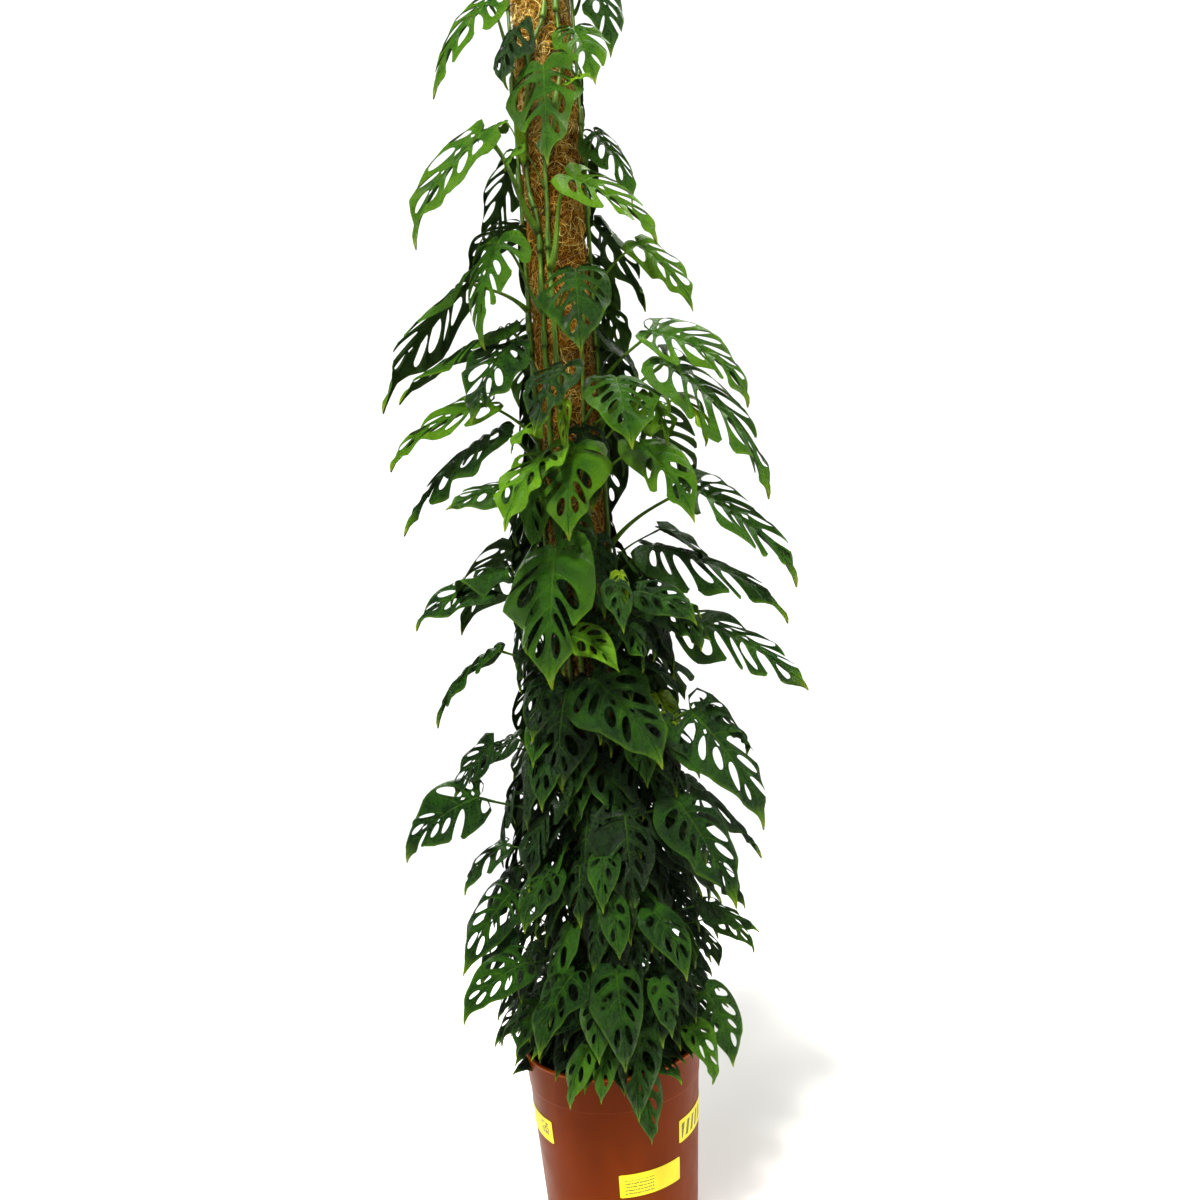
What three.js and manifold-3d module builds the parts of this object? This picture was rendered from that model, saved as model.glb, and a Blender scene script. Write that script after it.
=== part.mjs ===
// A climbing monstera with hole-bearing leaves, grown up a coir pole in a round nursery pot.
// Millimetres and degrees, +Z up. The origin is the centre of the pot's underside.
// A bearing is measured around the pole: 0 points to the front (-Y), 90 to the right (+X), 180 to the back.

import * as THREE from 'three';
import { mergeVertices } from 'three/addons/utils/BufferGeometryUtils.js';
import Module from 'manifold-3d';

const wasm = await Module();
wasm.setup();

// ---------------------------------------------------------------- driving dimensions

const GAP = 0.3; // clearance between pieces that touch

const POT_HEIGHT = 320;
const RIM_RADIUS = 155; // to the outside of the lip
const BASE_RADIUS = 127;
const POT_WALL = 2.2;
const LIP_WIDTH = 2.6; // how far the lip stands out from the collar
const LIP_DEPTH = 6;
const COLLAR_DEPTH = 60; // height of the thicker band below the top
const COLLAR_STEP = 1.2;
const FLOOR_THICKNESS = 3;
const FOOT_HEIGHT = 5; // the drainage channel under the floor is this deep
const FOOT_WIDTH = 14;
const PAD_RADIUS = 55; // flat middle of the underside, which rests on the ground
const DRAIN_COUNT = 8;
const DRAIN_RADIUS = 7;
const OUTLET_COUNT = 4; // slots through the foot ring
const OUTLET_WIDTH = 14;

const WATERING_SPACE = 35; // from the soil up to the top of the pot

const POLE_HEIGHT = 1895; // from the soil
const CORE_RADIUS = 37.5;
const CORE_WALL = 2.5;
const COIR_THICKNESS = 12.5;
const COIR_BURIED = 150; // how far the coir runs down into the soil
const CAP_FLANGE = 4; // overlap of the cap on the coir
const CAP_THICKNESS = 3;
const CAP_DEPTH = 15;

const VINE_RADIUS = 4.5;
const VINE_TIP_RADIUS = 3.2;
const NODE_SWELLING = 1.15; // a vine is this much thicker at its nodes
const NODE_SPACING = 100;
const VINE_CLEARANCE = 1.5; // from the coir to a vine
const ROOT_SPREAD = 30; // from the coir to where the vines come out of the soil
const VINE_ROOT_DEPTH = 50;
const VINE_LEAN_HEIGHT = 130; // above the soil, where the vines reach the pole
const SOCKET_CLEARANCE = 0.8; // around the foot of a vine in the soil

const PETIOLE_RADIUS = 2.6;
const PETIOLE_BASE_RADIUS = 3.2;
const PETIOLE_START_RISE = 50; // degrees above level where it leaves the vine
const PETIOLE_END_RISE = 25; // degrees above level where it meets the blade
const BLADE_THICKNESS = 1.2;
const BLADE_DROOP = 30; // degrees that the midrib bends from base to tip
const BLADE_CUP = 0.05; // drop of the margin below the midrib, in blade lengths

const LABEL_WIDTH = 110;
const LABEL_HEIGHT = 38;
const LABEL_THICKNESS = 0.4;

const ROUND_SEGMENTS = 48;
const POLE_SEGMENTS = 36;

const POLE_RADIUS = CORE_RADIUS + COIR_THICKNESS;

// Each vine: how high it grows above the soil, and its route around the pole as [height, bearing].
const VINES = [
  { top: 1930, route: [[0, -30], [415, -38], [715, -28], [1015, -36], [1290, -32], [1415, -28],
    [1515, -46], [1585, -46], [1695, -28], [1795, 8], [1915, 14]] },
  { top: 1950, route: [[0, -4], [315, -12], [615, -6], [915, -10], [1355, -14], [1515, -10],
    [1615, 14], [1715, 34], [1795, 28], [1915, 40]] },
  { top: 1845, route: [[0, 62], [515, 80], [915, 72], [1315, 86], [1815, 80]] },
  { top: 1865, route: [[0, -68], [515, -84], [1015, -76], [1415, -92], [1815, -80]] },
  { top: 1215, route: [[0, 26], [415, 16], [715, 30], [1015, 22], [1215, 34]] },
  { top: 1905, route: [[0, 168], [415, 184], [915, 170], [1415, 186], [1865, 172]] },
];

const OVER_RIM = RIM_RADIUS + 30 - POLE_RADIUS; // reach of a leaf that hangs down outside the pot

// Each leaf: its vine, the rise of its petiole, the blade's base (bearing, reach from the coir, height
// from the soil), the blade's length, the bearing and dip (degrees below level) in which the blade
// points, and its roll about the midrib. A positive roll turns the upper face clockwise from above.
const LEAVES = [
  [4, 70, -65, 45, 1815, 205, -70, 60, -40],
  [3, 60, 85, 40, 1865, 165, 35, 75, 10],
  [2, 60, 40, 35, 1745, 160, 20, 60, 10],
  [1, 50, 0, 45, 1670, 185, 0, 80, 10],
  [1, 145, -45, 100, 1560, 235, -70, 55, -40],
  [3, 50, 60, 40, 1580, 150, 70, 65, 40],
  [2, 130, 15, 60, 1480, 190, 80, 40, 45],
  [1, 110, -45, 80, 1390, 195, -50, 75, -20],
  [4, 60, -95, 105, 1360, 280, -90, 50, 5],
  [4, 40, -65, 50, 1260, 230, -95, 30, -25],
  [1, 60, -45, 70, 1220, 175, -40, 55, -20],
  [4, 60, -65, 95, 1130, 205, -75, 30, -40],
  [4, 60, -70, 75, 1090, 250, -95, 45, -20],
  [2, 60, 15, 65, 1325, 160, 0, 70, 0],
  [5, 60, 35, 95, 1145, 175, 5, 50, -5],
  [3, 70, 80, 90, 1395, 160, 75, 55, 40],
  [3, 70, 60, 120, 1225, 215, 80, 40, 40],
  [3, 80, 60, 140, 1170, 290, 90, 55, 35],
  [5, 70, 40, 125, 1035, 170, 50, 55, 20],
  [5, 50, 5, 70, 1040, 170, -20, 70, -10],
  [2, 60, -15, 75, 880, 235, -20, 75, 15],
  [3, 90, 75, 155, 970, 250, 80, 45, 30],
  [3, 60, 80, 75, 875, 280, 80, 30, 20],
  [3, 80, 80, 135, 745, 235, 85, 35, 35],
  [5, 50, 5, 60, 663, 190, 60, 50, 40],
  [3, 80, 65, 135, 595, 230, 80, 60, 45],
  [5, 70, 50, 125, 455, 190, 45, 55, 15],
  [4, 60, -70, 110, 720, 170, -90, 50, 0],
  [4, 80, -70, 155, 475, 165, -75, 35, -45],
  [4, 60, -55, 125, 325, 150, -60, 50, -30],
  [4, 60, -40, 145, 225, 135, -65, 30, -40],
  [1, 60, -15, 135, 215, 135, -50, 50, -10],
  [2, 60, 5, 140, 220, 150, 5, 70, 0],
  [3, 60, 60, OVER_RIM, 135, 125, 55, 70, 35],
  [5, 50, 15, OVER_RIM, 115, 125, -20, 70, -5],
  [6, 60, 170, 50, 1805, 180, 175, 60, 10],
  [6, 60, -150, 70, 1615, 200, -140, 50, -20],
  [6, 60, 150, 90, 1495, 200, 140, 45, 25],
  [6, 70, -165, 100, 1315, 220, -160, 50, 15],
  [6, 60, 130, 100, 1135, 220, 130, 45, -20],
  [6, 60, 180, 90, 965, 210, 180, 50, -10],
  [6, 70, -130, 110, 895, 220, -130, 45, 20],
  [6, 70, 145, 120, 715, 220, 140, 40, 15],
  [6, 70, -150, 120, 565, 200, -150, 45, -25],
  [6, 60, 160, 120, 405, 180, 165, 50, 10],
  [2, 55, 25, 45, 1980, 120, 20, 40, 0],
];

// The blade's ribs: [place on the midrib, half width at the margin, place of that margin point along
// the blade], all in blade lengths. The first margins lie behind the petiole, as the two basal lobes.
const BLADE_RIBS = [
  [0.0, 0.10, -0.08],
  [0.04, 0.22, -0.03],
  [0.13, 0.30, 0.13],
  [0.29, 0.30, 0.34],
  [0.50, 0.225, 0.58],
  [0.74, 0.12, 0.79],
  [0.92, 0.035, 0.94],
  [1.0, 0.006, 1.0],
];
const MOST_HALF_WIDTH = Math.max(...BLADE_RIBS.map((rib) => rib[1]));

// Each label: its name, the bearing of its middle and how far its middle is below the collar.
const LABELS = [
  ['label_left', -70, 53],
  ['label_front', 22, 122],
  ['label_right', 67, 63],
];

// ---------------------------------------------------------------- sizes that follow

const FLOOR_TOP = FOOT_HEIGHT + FLOOR_THICKNESS;
const SOIL_TOP = POT_HEIGHT - WATERING_SPACE;
const POLE_TOP = SOIL_TOP + POLE_HEIGHT;
const POLE_BOTTOM = FLOOR_TOP + GAP;
const COIR_BOTTOM = SOIL_TOP - COIR_BURIED;
const BODY_TOP_RADIUS = RIM_RADIUS - LIP_WIDTH - COLLAR_STEP;
const COLLAR_FOOT = POT_HEIGHT - COLLAR_DEPTH;
const VINE_HUG_RADIUS = POLE_RADIUS + VINE_CLEARANCE + VINE_RADIUS * NODE_SWELLING;

// ---------------------------------------------------------------- materials

function finish(color, roughness) {
  return new THREE.MeshStandardMaterial({ color, roughness, metalness: 0 });
}

const POT_PLASTIC = finish(0x8a431c, 0.38);
const SOIL = finish(0x2a1d14, 0.95);
const CORE_PLASTIC = finish(0x6f6a63, 0.5);
const COIR = finish(0x9a6428, 0.95);
const STEM = finish(0x4f7a2a, 0.55);
const LEAF = finish(0x3f7d2c, 0.42);
const LABEL_PAPER = finish(0xf2d90b, 0.5);

// ---------------------------------------------------------------- helpers

const degrees = THREE.MathUtils.degToRad;
const UP = new THREE.Vector3(0, 0, 1);

function compass(bearing) {
  const angle = degrees(bearing);
  return new THREE.Vector3(Math.sin(angle), -Math.cos(angle), 0);
}

function lathe(profile, segments = ROUND_SEGMENTS) {
  const points = profile.map(([radius, height]) => new THREE.Vector2(radius, height));
  const geometry = new THREE.LatheGeometry(points, segments);
  geometry.rotateX(Math.PI / 2);
  return geometry;
}

function toSolid(geometry) {
  const bare = geometry.clone();
  bare.deleteAttribute('normal');
  bare.deleteAttribute('uv');
  const merged = mergeVertices(bare, 1e-3);
  return new wasm.Manifold(new wasm.Mesh({
    numProp: 3,
    vertProperties: new Float32Array(merged.attributes.position.array),
    triVerts: new Uint32Array(merged.index.array),
  }));
}

function toGeometry(solid) {
  const mesh = solid.getMesh();
  const geometry = new THREE.BufferGeometry();
  geometry.setAttribute('position', new THREE.BufferAttribute(mesh.vertProperties, 3));
  geometry.setIndex(new THREE.BufferAttribute(mesh.triVerts, 1));
  geometry.computeVertexNormals();
  return geometry;
}

// Skins a row of rings that all have the same number of points, and closes both ends.
// The points of a ring run anticlockwise as seen from the row's far end.
function loft(rings) {
  const around = rings[0].length;
  const positions = [];
  for (const ring of rings) {
    for (const point of ring) positions.push(point.x, point.y, point.z);
  }
  const faces = [];
  for (let row = 0; row < rings.length - 1; row += 1) {
    for (let i = 0; i < around; i += 1) {
      const a = row * around + i;
      const b = row * around + (i + 1) % around;
      faces.push(a, b, b + around, a, b + around, a + around);
    }
  }
  const last = (rings.length - 1) * around;
  for (let i = 1; i < around - 1; i += 1) {
    faces.push(0, i + 1, i);
    faces.push(last, last + i, last + i + 1);
  }
  const geometry = new THREE.BufferGeometry();
  geometry.setAttribute('position', new THREE.Float32BufferAttribute(positions, 3));
  geometry.setIndex(faces);
  geometry.computeVertexNormals();
  return geometry;
}

// A round ring of six points about a centre, in the plane of the side and top directions.
function roundRing(centre, side, top, radius) {
  const ring = [];
  for (let i = 0; i < 6; i += 1) {
    const angle = degrees(30 + 60 * i);
    ring.push(centre.clone()
      .addScaledVector(side, radius * Math.cos(angle))
      .addScaledVector(top, radius * Math.sin(angle)));
  }
  return ring;
}

// ---------------------------------------------------------------- pot and soil

function potRadius(height) {
  return BASE_RADIUS + (BODY_TOP_RADIUS - BASE_RADIUS) * height / POT_HEIGHT;
}

function pot() {
  const lipFoot = POT_HEIGHT - LIP_DEPTH;
  const footInside = BASE_RADIUS - FOOT_WIDTH;
  const body = toSolid(lathe([
    [0, 0],
    [PAD_RADIUS, 0],
    [PAD_RADIUS + FOOT_HEIGHT / 2, FOOT_HEIGHT],
    [footInside - FOOT_HEIGHT / 2, FOOT_HEIGHT],
    [footInside, 0],
    [BASE_RADIUS - POT_WALL, 0],
    [potRadius(POT_WALL), POT_WALL],
    [potRadius(COLLAR_FOOT), COLLAR_FOOT],
    [potRadius(COLLAR_FOOT) + COLLAR_STEP, COLLAR_FOOT + COLLAR_STEP],
    [potRadius(lipFoot) + COLLAR_STEP, lipFoot],
    [RIM_RADIUS, lipFoot + LIP_WIDTH],
    [RIM_RADIUS, POT_HEIGHT - LIP_WIDTH / 2],
    [RIM_RADIUS - LIP_WIDTH / 2, POT_HEIGHT],
    [potRadius(POT_HEIGHT) - POT_WALL, POT_HEIGHT],
    [potRadius(FLOOR_TOP) - POT_WALL, FLOOR_TOP],
    [0, FLOOR_TOP],
  ]));
  return toGeometry(potCuts(footInside).reduce((solid, cut) => solid.subtract(cut), body));
}

function potCuts(footInside) {
  const drainCircle = (PAD_RADIUS + footInside) / 2;
  const cuts = [];
  for (let i = 0; i < DRAIN_COUNT; i += 1) {
    const place = compass(360 * (i + 0.5) / DRAIN_COUNT).multiplyScalar(drainCircle);
    const hole = new THREE.CylinderGeometry(DRAIN_RADIUS, DRAIN_RADIUS, 4 * FLOOR_TOP, 16);
    hole.rotateX(Math.PI / 2).translate(place.x, place.y, 0);
    cuts.push(toSolid(hole));
  }
  for (let i = 0; i < OUTLET_COUNT; i += 1) {
    const outlet = new THREE.BoxGeometry(3 * FOOT_WIDTH, OUTLET_WIDTH, 2 * FOOT_HEIGHT - 2);
    outlet.translate(BASE_RADIUS, 0, 0).rotateZ(2 * Math.PI * (i + 0.5) / OUTLET_COUNT);
    cuts.push(toSolid(outlet));
  }
  return cuts;
}

// The soil fills the pot around the pole, and has a socket for the foot of each vine.
function pottingSoil() {
  const outside = (height) => potRadius(height) - POT_WALL - GAP;
  const bottom = FLOOR_TOP + GAP;
  const step = COIR_BOTTOM - GAP;
  const ring = [
    [CORE_RADIUS + GAP, bottom],
    [outside(bottom), bottom],
    [outside(SOIL_TOP), SOIL_TOP],
    [POLE_RADIUS + GAP, SOIL_TOP],
    [POLE_RADIUS + GAP, step],
    [CORE_RADIUS + GAP, step],
  ];
  const sockets = VINES.map((vine) => {
    const radius = VINE_RADIUS * NODE_SWELLING + SOCKET_CLEARANCE;
    const depth = VINE_ROOT_DEPTH + SOCKET_CLEARANCE;
    const foot = vinePoint(vine, 0);
    const socket = new THREE.CylinderGeometry(radius, radius, 2 * depth, 12);
    socket.rotateX(Math.PI / 2).translate(foot.x, foot.y, SOIL_TOP);
    return toSolid(socket);
  });
  const soil = toSolid(lathe([...ring, ring[0]]));
  return toGeometry(sockets.reduce((solid, socket) => solid.subtract(socket), soil));
}

// ---------------------------------------------------------------- pole

function sleeve(inside, outside, bottom, top) {
  const ring = [[inside, bottom], [outside, bottom], [outside, top], [inside, top]];
  return lathe([...ring, ring[0]], POLE_SEGMENTS);
}

function poleCap() {
  const plug = CORE_RADIUS - CORE_WALL - GAP;
  const flange = CORE_RADIUS + CAP_FLANGE;
  const seat = POLE_TOP + GAP;
  return lathe([
    [0, POLE_TOP - CAP_DEPTH],
    [plug, POLE_TOP - CAP_DEPTH],
    [plug, seat],
    [flange, seat],
    [flange, seat + CAP_THICKNESS],
    [0, seat + CAP_THICKNESS],
  ], POLE_SEGMENTS);
}

// ---------------------------------------------------------------- vines

function smoothMix(start, end, share) {
  const t = THREE.MathUtils.clamp(share, 0, 1);
  return start + (end - start) * t * t * (3 - 2 * t);
}

function vineBearing(vine, height) {
  const { route } = vine;
  const next = route.findIndex(([level]) => level > height);
  if (next === 0) return route[0][1];
  if (next < 0) return route[route.length - 1][1];
  const [[low, from], [high, to]] = [route[next - 1], route[next]];
  return smoothMix(from, to, (height - low) / (high - low));
}

// A vine rises out of the soil, leans in to the pole and then stays close to it.
function vinePoint(vine, height) {
  const reach = smoothMix(POLE_RADIUS + ROOT_SPREAD, VINE_HUG_RADIUS, height / VINE_LEAN_HEIGHT);
  return compass(vineBearing(vine, height)).multiplyScalar(reach).setZ(SOIL_TOP + height);
}

function vineBody(vine) {
  const length = vine.top + VINE_ROOT_DEPTH;
  const steps = 2 * Math.round(length / NODE_SPACING);
  const rings = [];
  for (let i = 0; i <= steps; i += 1) {
    const share = i / steps;
    const height = length * share - VINE_ROOT_DEPTH;
    const swelling = i % 2 ? NODE_SWELLING : 1;
    const taper = smoothMix(1, VINE_TIP_RADIUS / VINE_RADIUS, (share - 0.6) / 0.4);
    const side = new THREE.Vector3(1, 0, 0);
    const depth = new THREE.Vector3(0, 1, 0);
    rings.push(roundRing(vinePoint(vine, height), side, depth, VINE_RADIUS * swelling * taper));
  }
  return loft(rings);
}

// ---------------------------------------------------------------- leaves

// A blade's surface: the midrib is an arc that bends down by BLADE_DROOP from base to tip, and the
// blade falls away from it to both margins. Behind the base it runs on straight.
function bladeSurface(base, length, bearing, dip, roll) {
  const ahead = compass(bearing);
  const level = UP.clone().cross(ahead);
  const firstDip = degrees(dip - BLADE_DROOP / 2);
  const bend = degrees(BLADE_DROOP);
  const direction = (along) => {
    const angle = firstDip + bend * Math.max(along, 0);
    return ahead.clone().multiplyScalar(Math.cos(angle)).addScaledVector(UP, -Math.sin(angle));
  };
  const side = (along) => level.clone().applyAxisAngle(direction(along), degrees(roll));
  const normal = (along) => direction(along).cross(side(along));
  const midrib = (along) => {
    if (along <= 0) return base.clone().addScaledVector(direction(0), along * length);
    const end = firstDip + bend * along;
    const forward = (Math.sin(end) - Math.sin(firstDip)) / bend;
    const fall = (Math.cos(firstDip) - Math.cos(end)) / bend;
    return base.clone().addScaledVector(ahead, forward * length).addScaledVector(UP, -fall * length);
  };
  const point = (across, along, lift) => {
    const drop = BLADE_CUP * length * (across / MOST_HALF_WIDTH) ** 2;
    return midrib(along)
      .addScaledVector(side(along), across * length)
      .addScaledVector(normal(along), lift - drop);
  };
  return { side, direction, normal, point };
}

// The six corners of one rib: right margin, midrib and left margin, on the upper and lower faces.
function bladeRing(surface, [along, halfWidth, marginAlong]) {
  const half = BLADE_THICKNESS / 2;
  return [
    surface.point(halfWidth, marginAlong, half),
    surface.point(0, along, half),
    surface.point(-halfWidth, marginAlong, half),
    surface.point(-halfWidth, marginAlong, -half),
    surface.point(0, along, -half),
    surface.point(halfWidth, marginAlong, -half),
  ];
}

// The petiole leaves the vine steeply and comes in to the blade's base nearly level. Its rings keep
// in step with the blade's own directions, turned by the least angle at every ring.
function petioleRings(root, base, surface) {
  const outward = base.clone().sub(root).setZ(0).normalize();
  const aim = (angle) => outward.clone().multiplyScalar(Math.cos(degrees(angle)))
    .addScaledVector(UP, Math.sin(degrees(angle)));
  const clear = VINE_RADIUS * NODE_SWELLING + PETIOLE_BASE_RADIUS + GAP;
  const start = root.addScaledVector(outward, clear);
  const span = start.distanceTo(base);
  const curve = new THREE.CubicBezierCurve3(
    start,
    start.clone().addScaledVector(aim(PETIOLE_START_RISE), 0.4 * span),
    base.clone().addScaledVector(aim(PETIOLE_END_RISE), -0.35 * span),
    base,
  );
  const turn = new THREE.Quaternion();
  const side = surface.side(0);
  const top = surface.normal(0);
  let heading = surface.direction(0);
  const rings = [];
  for (const share of [0.97, 0.85, 0.65, 0.4, 0.18, 0]) {
    const tangent = curve.getTangent(share);
    turn.setFromUnitVectors(heading, tangent);
    side.applyQuaternion(turn);
    top.applyQuaternion(turn);
    heading = tangent;
    const radius = PETIOLE_BASE_RADIUS + (PETIOLE_RADIUS - PETIOLE_BASE_RADIUS) * share;
    rings.unshift(roundRing(curve.getPoint(share), side, top, radius));
  }
  return rings;
}

function leafBody([vineNumber, rise, baseBearing, reach, height, length, bearing, dip, roll]) {
  const base = compass(baseBearing).multiplyScalar(POLE_RADIUS + reach).setZ(SOIL_TOP + height);
  const surface = bladeSurface(base, length, bearing, dip, roll);
  const petiole = petioleRings(vinePoint(VINES[vineNumber - 1], height - rise), base, surface);
  return loft([...petiole, ...BLADE_RIBS.map((rib) => bladeRing(surface, rib))]);
}

// ---------------------------------------------------------------- labels

// A label follows the pot's tapered wall, with a small gap of glue behind it.
function label(bearing, drop) {
  const steps = 10;
  const height = COLLAR_FOOT - drop;
  const halfTurn = THREE.MathUtils.radToDeg(LABEL_WIDTH / potRadius(height) / 2);
  const rings = [];
  for (let i = 0; i <= steps; i += 1) {
    const outward = compass(bearing - halfTurn + 2 * halfTurn * i / steps);
    const corner = (level, lift) => outward.clone()
      .multiplyScalar(potRadius(level) + GAP + lift).setZ(level);
    const low = height - LABEL_HEIGHT / 2;
    const high = height + LABEL_HEIGHT / 2;
    rings.push([
      corner(low, 0), corner(low, LABEL_THICKNESS), corner(high, LABEL_THICKNESS), corner(high, 0),
    ].reverse());
  }
  return loft(rings);
}

// ---------------------------------------------------------------- assembly

function piece(name, geometry, material) {
  const mesh = new THREE.Mesh(geometry, material);
  mesh.name = name;
  return mesh;
}

function plant() {
  const group = new THREE.Group();
  group.add(piece('pot', pot(), POT_PLASTIC));
  group.add(piece('potting_soil', pottingSoil(), SOIL));
  const core = sleeve(CORE_RADIUS - CORE_WALL, CORE_RADIUS, POLE_BOTTOM, POLE_TOP);
  const coir = sleeve(CORE_RADIUS + GAP, POLE_RADIUS, COIR_BOTTOM, POLE_TOP);
  group.add(piece('pole_core', core, CORE_PLASTIC));
  group.add(piece('pole_cap', poleCap(), CORE_PLASTIC));
  group.add(piece('coir_sleeve', coir, COIR));
  VINES.forEach((vine, i) => group.add(piece(`vine_${i + 1}`, vineBody(vine), STEM)));
  LEAVES.forEach((leaf, i) => {
    group.add(piece(`leaf_${String(i + 1).padStart(2, '0')}`, leafBody(leaf), LEAF));
  });
  LABELS.forEach(([name, bearing, drop]) => group.add(piece(name, label(bearing, drop), LABEL_PAPER)));
  return group;
}

export default plant();
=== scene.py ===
"""A climbing monstera with perforated leaves, grown up a coir pole in a round nursery pot.

Metres and degrees, +Z up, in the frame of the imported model. A bearing is measured around the pole:
0 points to the front (-Y), 90 to the right (+X) and 180 to the back.
"""
import math

import bmesh
import bpy
import numpy as np
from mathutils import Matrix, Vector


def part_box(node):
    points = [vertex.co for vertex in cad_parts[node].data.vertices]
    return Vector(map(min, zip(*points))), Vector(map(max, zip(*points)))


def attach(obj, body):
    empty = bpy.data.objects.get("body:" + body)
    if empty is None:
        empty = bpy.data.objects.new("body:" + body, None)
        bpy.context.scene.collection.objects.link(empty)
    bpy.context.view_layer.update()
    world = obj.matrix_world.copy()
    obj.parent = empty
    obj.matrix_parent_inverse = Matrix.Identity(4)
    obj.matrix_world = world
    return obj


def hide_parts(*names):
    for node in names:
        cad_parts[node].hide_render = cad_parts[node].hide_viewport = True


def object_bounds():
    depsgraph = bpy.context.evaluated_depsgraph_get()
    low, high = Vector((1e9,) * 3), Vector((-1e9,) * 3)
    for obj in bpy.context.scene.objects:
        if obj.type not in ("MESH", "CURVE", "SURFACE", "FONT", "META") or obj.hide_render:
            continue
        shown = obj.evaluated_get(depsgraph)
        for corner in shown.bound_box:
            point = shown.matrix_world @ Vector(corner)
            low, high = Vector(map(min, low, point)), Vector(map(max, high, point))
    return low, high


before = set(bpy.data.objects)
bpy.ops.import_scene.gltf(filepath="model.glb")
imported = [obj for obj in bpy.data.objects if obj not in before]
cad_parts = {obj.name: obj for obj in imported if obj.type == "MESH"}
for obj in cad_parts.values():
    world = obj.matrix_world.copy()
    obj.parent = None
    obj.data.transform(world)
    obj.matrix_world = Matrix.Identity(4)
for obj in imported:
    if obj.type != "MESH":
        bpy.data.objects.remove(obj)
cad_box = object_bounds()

MM = 0.001
UP = np.array([0.0, 0.0, 1.0])

# ---- sizes that repeat the CAD model

SOIL_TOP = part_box("potting_soil")[1][2]
POLE_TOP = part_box("coir_sleeve")[1][2]
POLE_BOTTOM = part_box("coir_sleeve")[0][2]
POLE_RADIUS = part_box("coir_sleeve")[1][0]
POT_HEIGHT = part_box("pot")[1][2]
RIM_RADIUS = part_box("pot")[1][0]

BASE_RADIUS = 127 * MM
POT_WALL = 2.2 * MM
LIP_WIDTH = 2.6 * MM
LIP_DEPTH = 6 * MM
COLLAR_DEPTH = 60 * MM
COLLAR_STEP = 1.2 * MM
FLOOR_THICKNESS = 3 * MM
FOOT_HEIGHT = 5 * MM
FOOT_WIDTH = 14 * MM
PAD_RADIUS = 55 * MM
DRAIN_COUNT = 8
DRAIN_RADIUS = 7 * MM
OUTLET_COUNT = 4
OUTLET_WIDTH = 14 * MM
GAP = 0.3 * MM

CORE_RADIUS = 37.5 * MM
VINE_RADIUS = 4.5 * MM
VINE_TIP_RADIUS = 3.2 * MM
NODE_SWELLING = 1.15
VINE_HUG_RADIUS = POLE_RADIUS + 1.5 * MM + VINE_RADIUS * NODE_SWELLING
ROOT_SPREAD = 30 * MM
VINE_ROOT_DEPTH = 50 * MM
VINE_LEAN_HEIGHT = 130 * MM

PETIOLE_RADIUS = 2.6 * MM
PETIOLE_BASE_RADIUS = 3.2 * MM
PETIOLE_START_RISE = 50
PETIOLE_END_RISE = 25
BLADE_DROOP = 30
BLADE_CUP = 0.05
HALF_WIDTH = 0.30

LABEL_WIDTH = 110 * MM
LABEL_HEIGHT = 38 * MM
LABEL_THICKNESS = 0.4 * MM
LABELS = [("label_left", -70, 53), ("label_front", 22, 122), ("label_right", 67, 63)]

# Each vine: how high it grows above the soil, and its route around the pole as [height, bearing].
VINES = [
    (1930, [[0, -30], [415, -38], [715, -28], [1015, -36], [1290, -32], [1415, -28],
            [1515, -46], [1585, -46], [1695, -28], [1795, 8], [1915, 14]]),
    (1950, [[0, -4], [315, -12], [615, -6], [915, -10], [1355, -14], [1515, -10],
            [1615, 14], [1715, 34], [1795, 28], [1915, 40]]),
    (1845, [[0, 62], [515, 80], [915, 72], [1315, 86], [1815, 80]]),
    (1865, [[0, -68], [515, -84], [1015, -76], [1415, -92], [1815, -80]]),
    (1215, [[0, 26], [415, 16], [715, 30], [1015, 22], [1215, 34]]),
    (1905, [[0, 168], [415, 184], [915, 170], [1415, 186], [1865, 172]]),
]
OVER_RIM = 135  # reach in millimetres of a leaf that hangs down outside the pot

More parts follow.
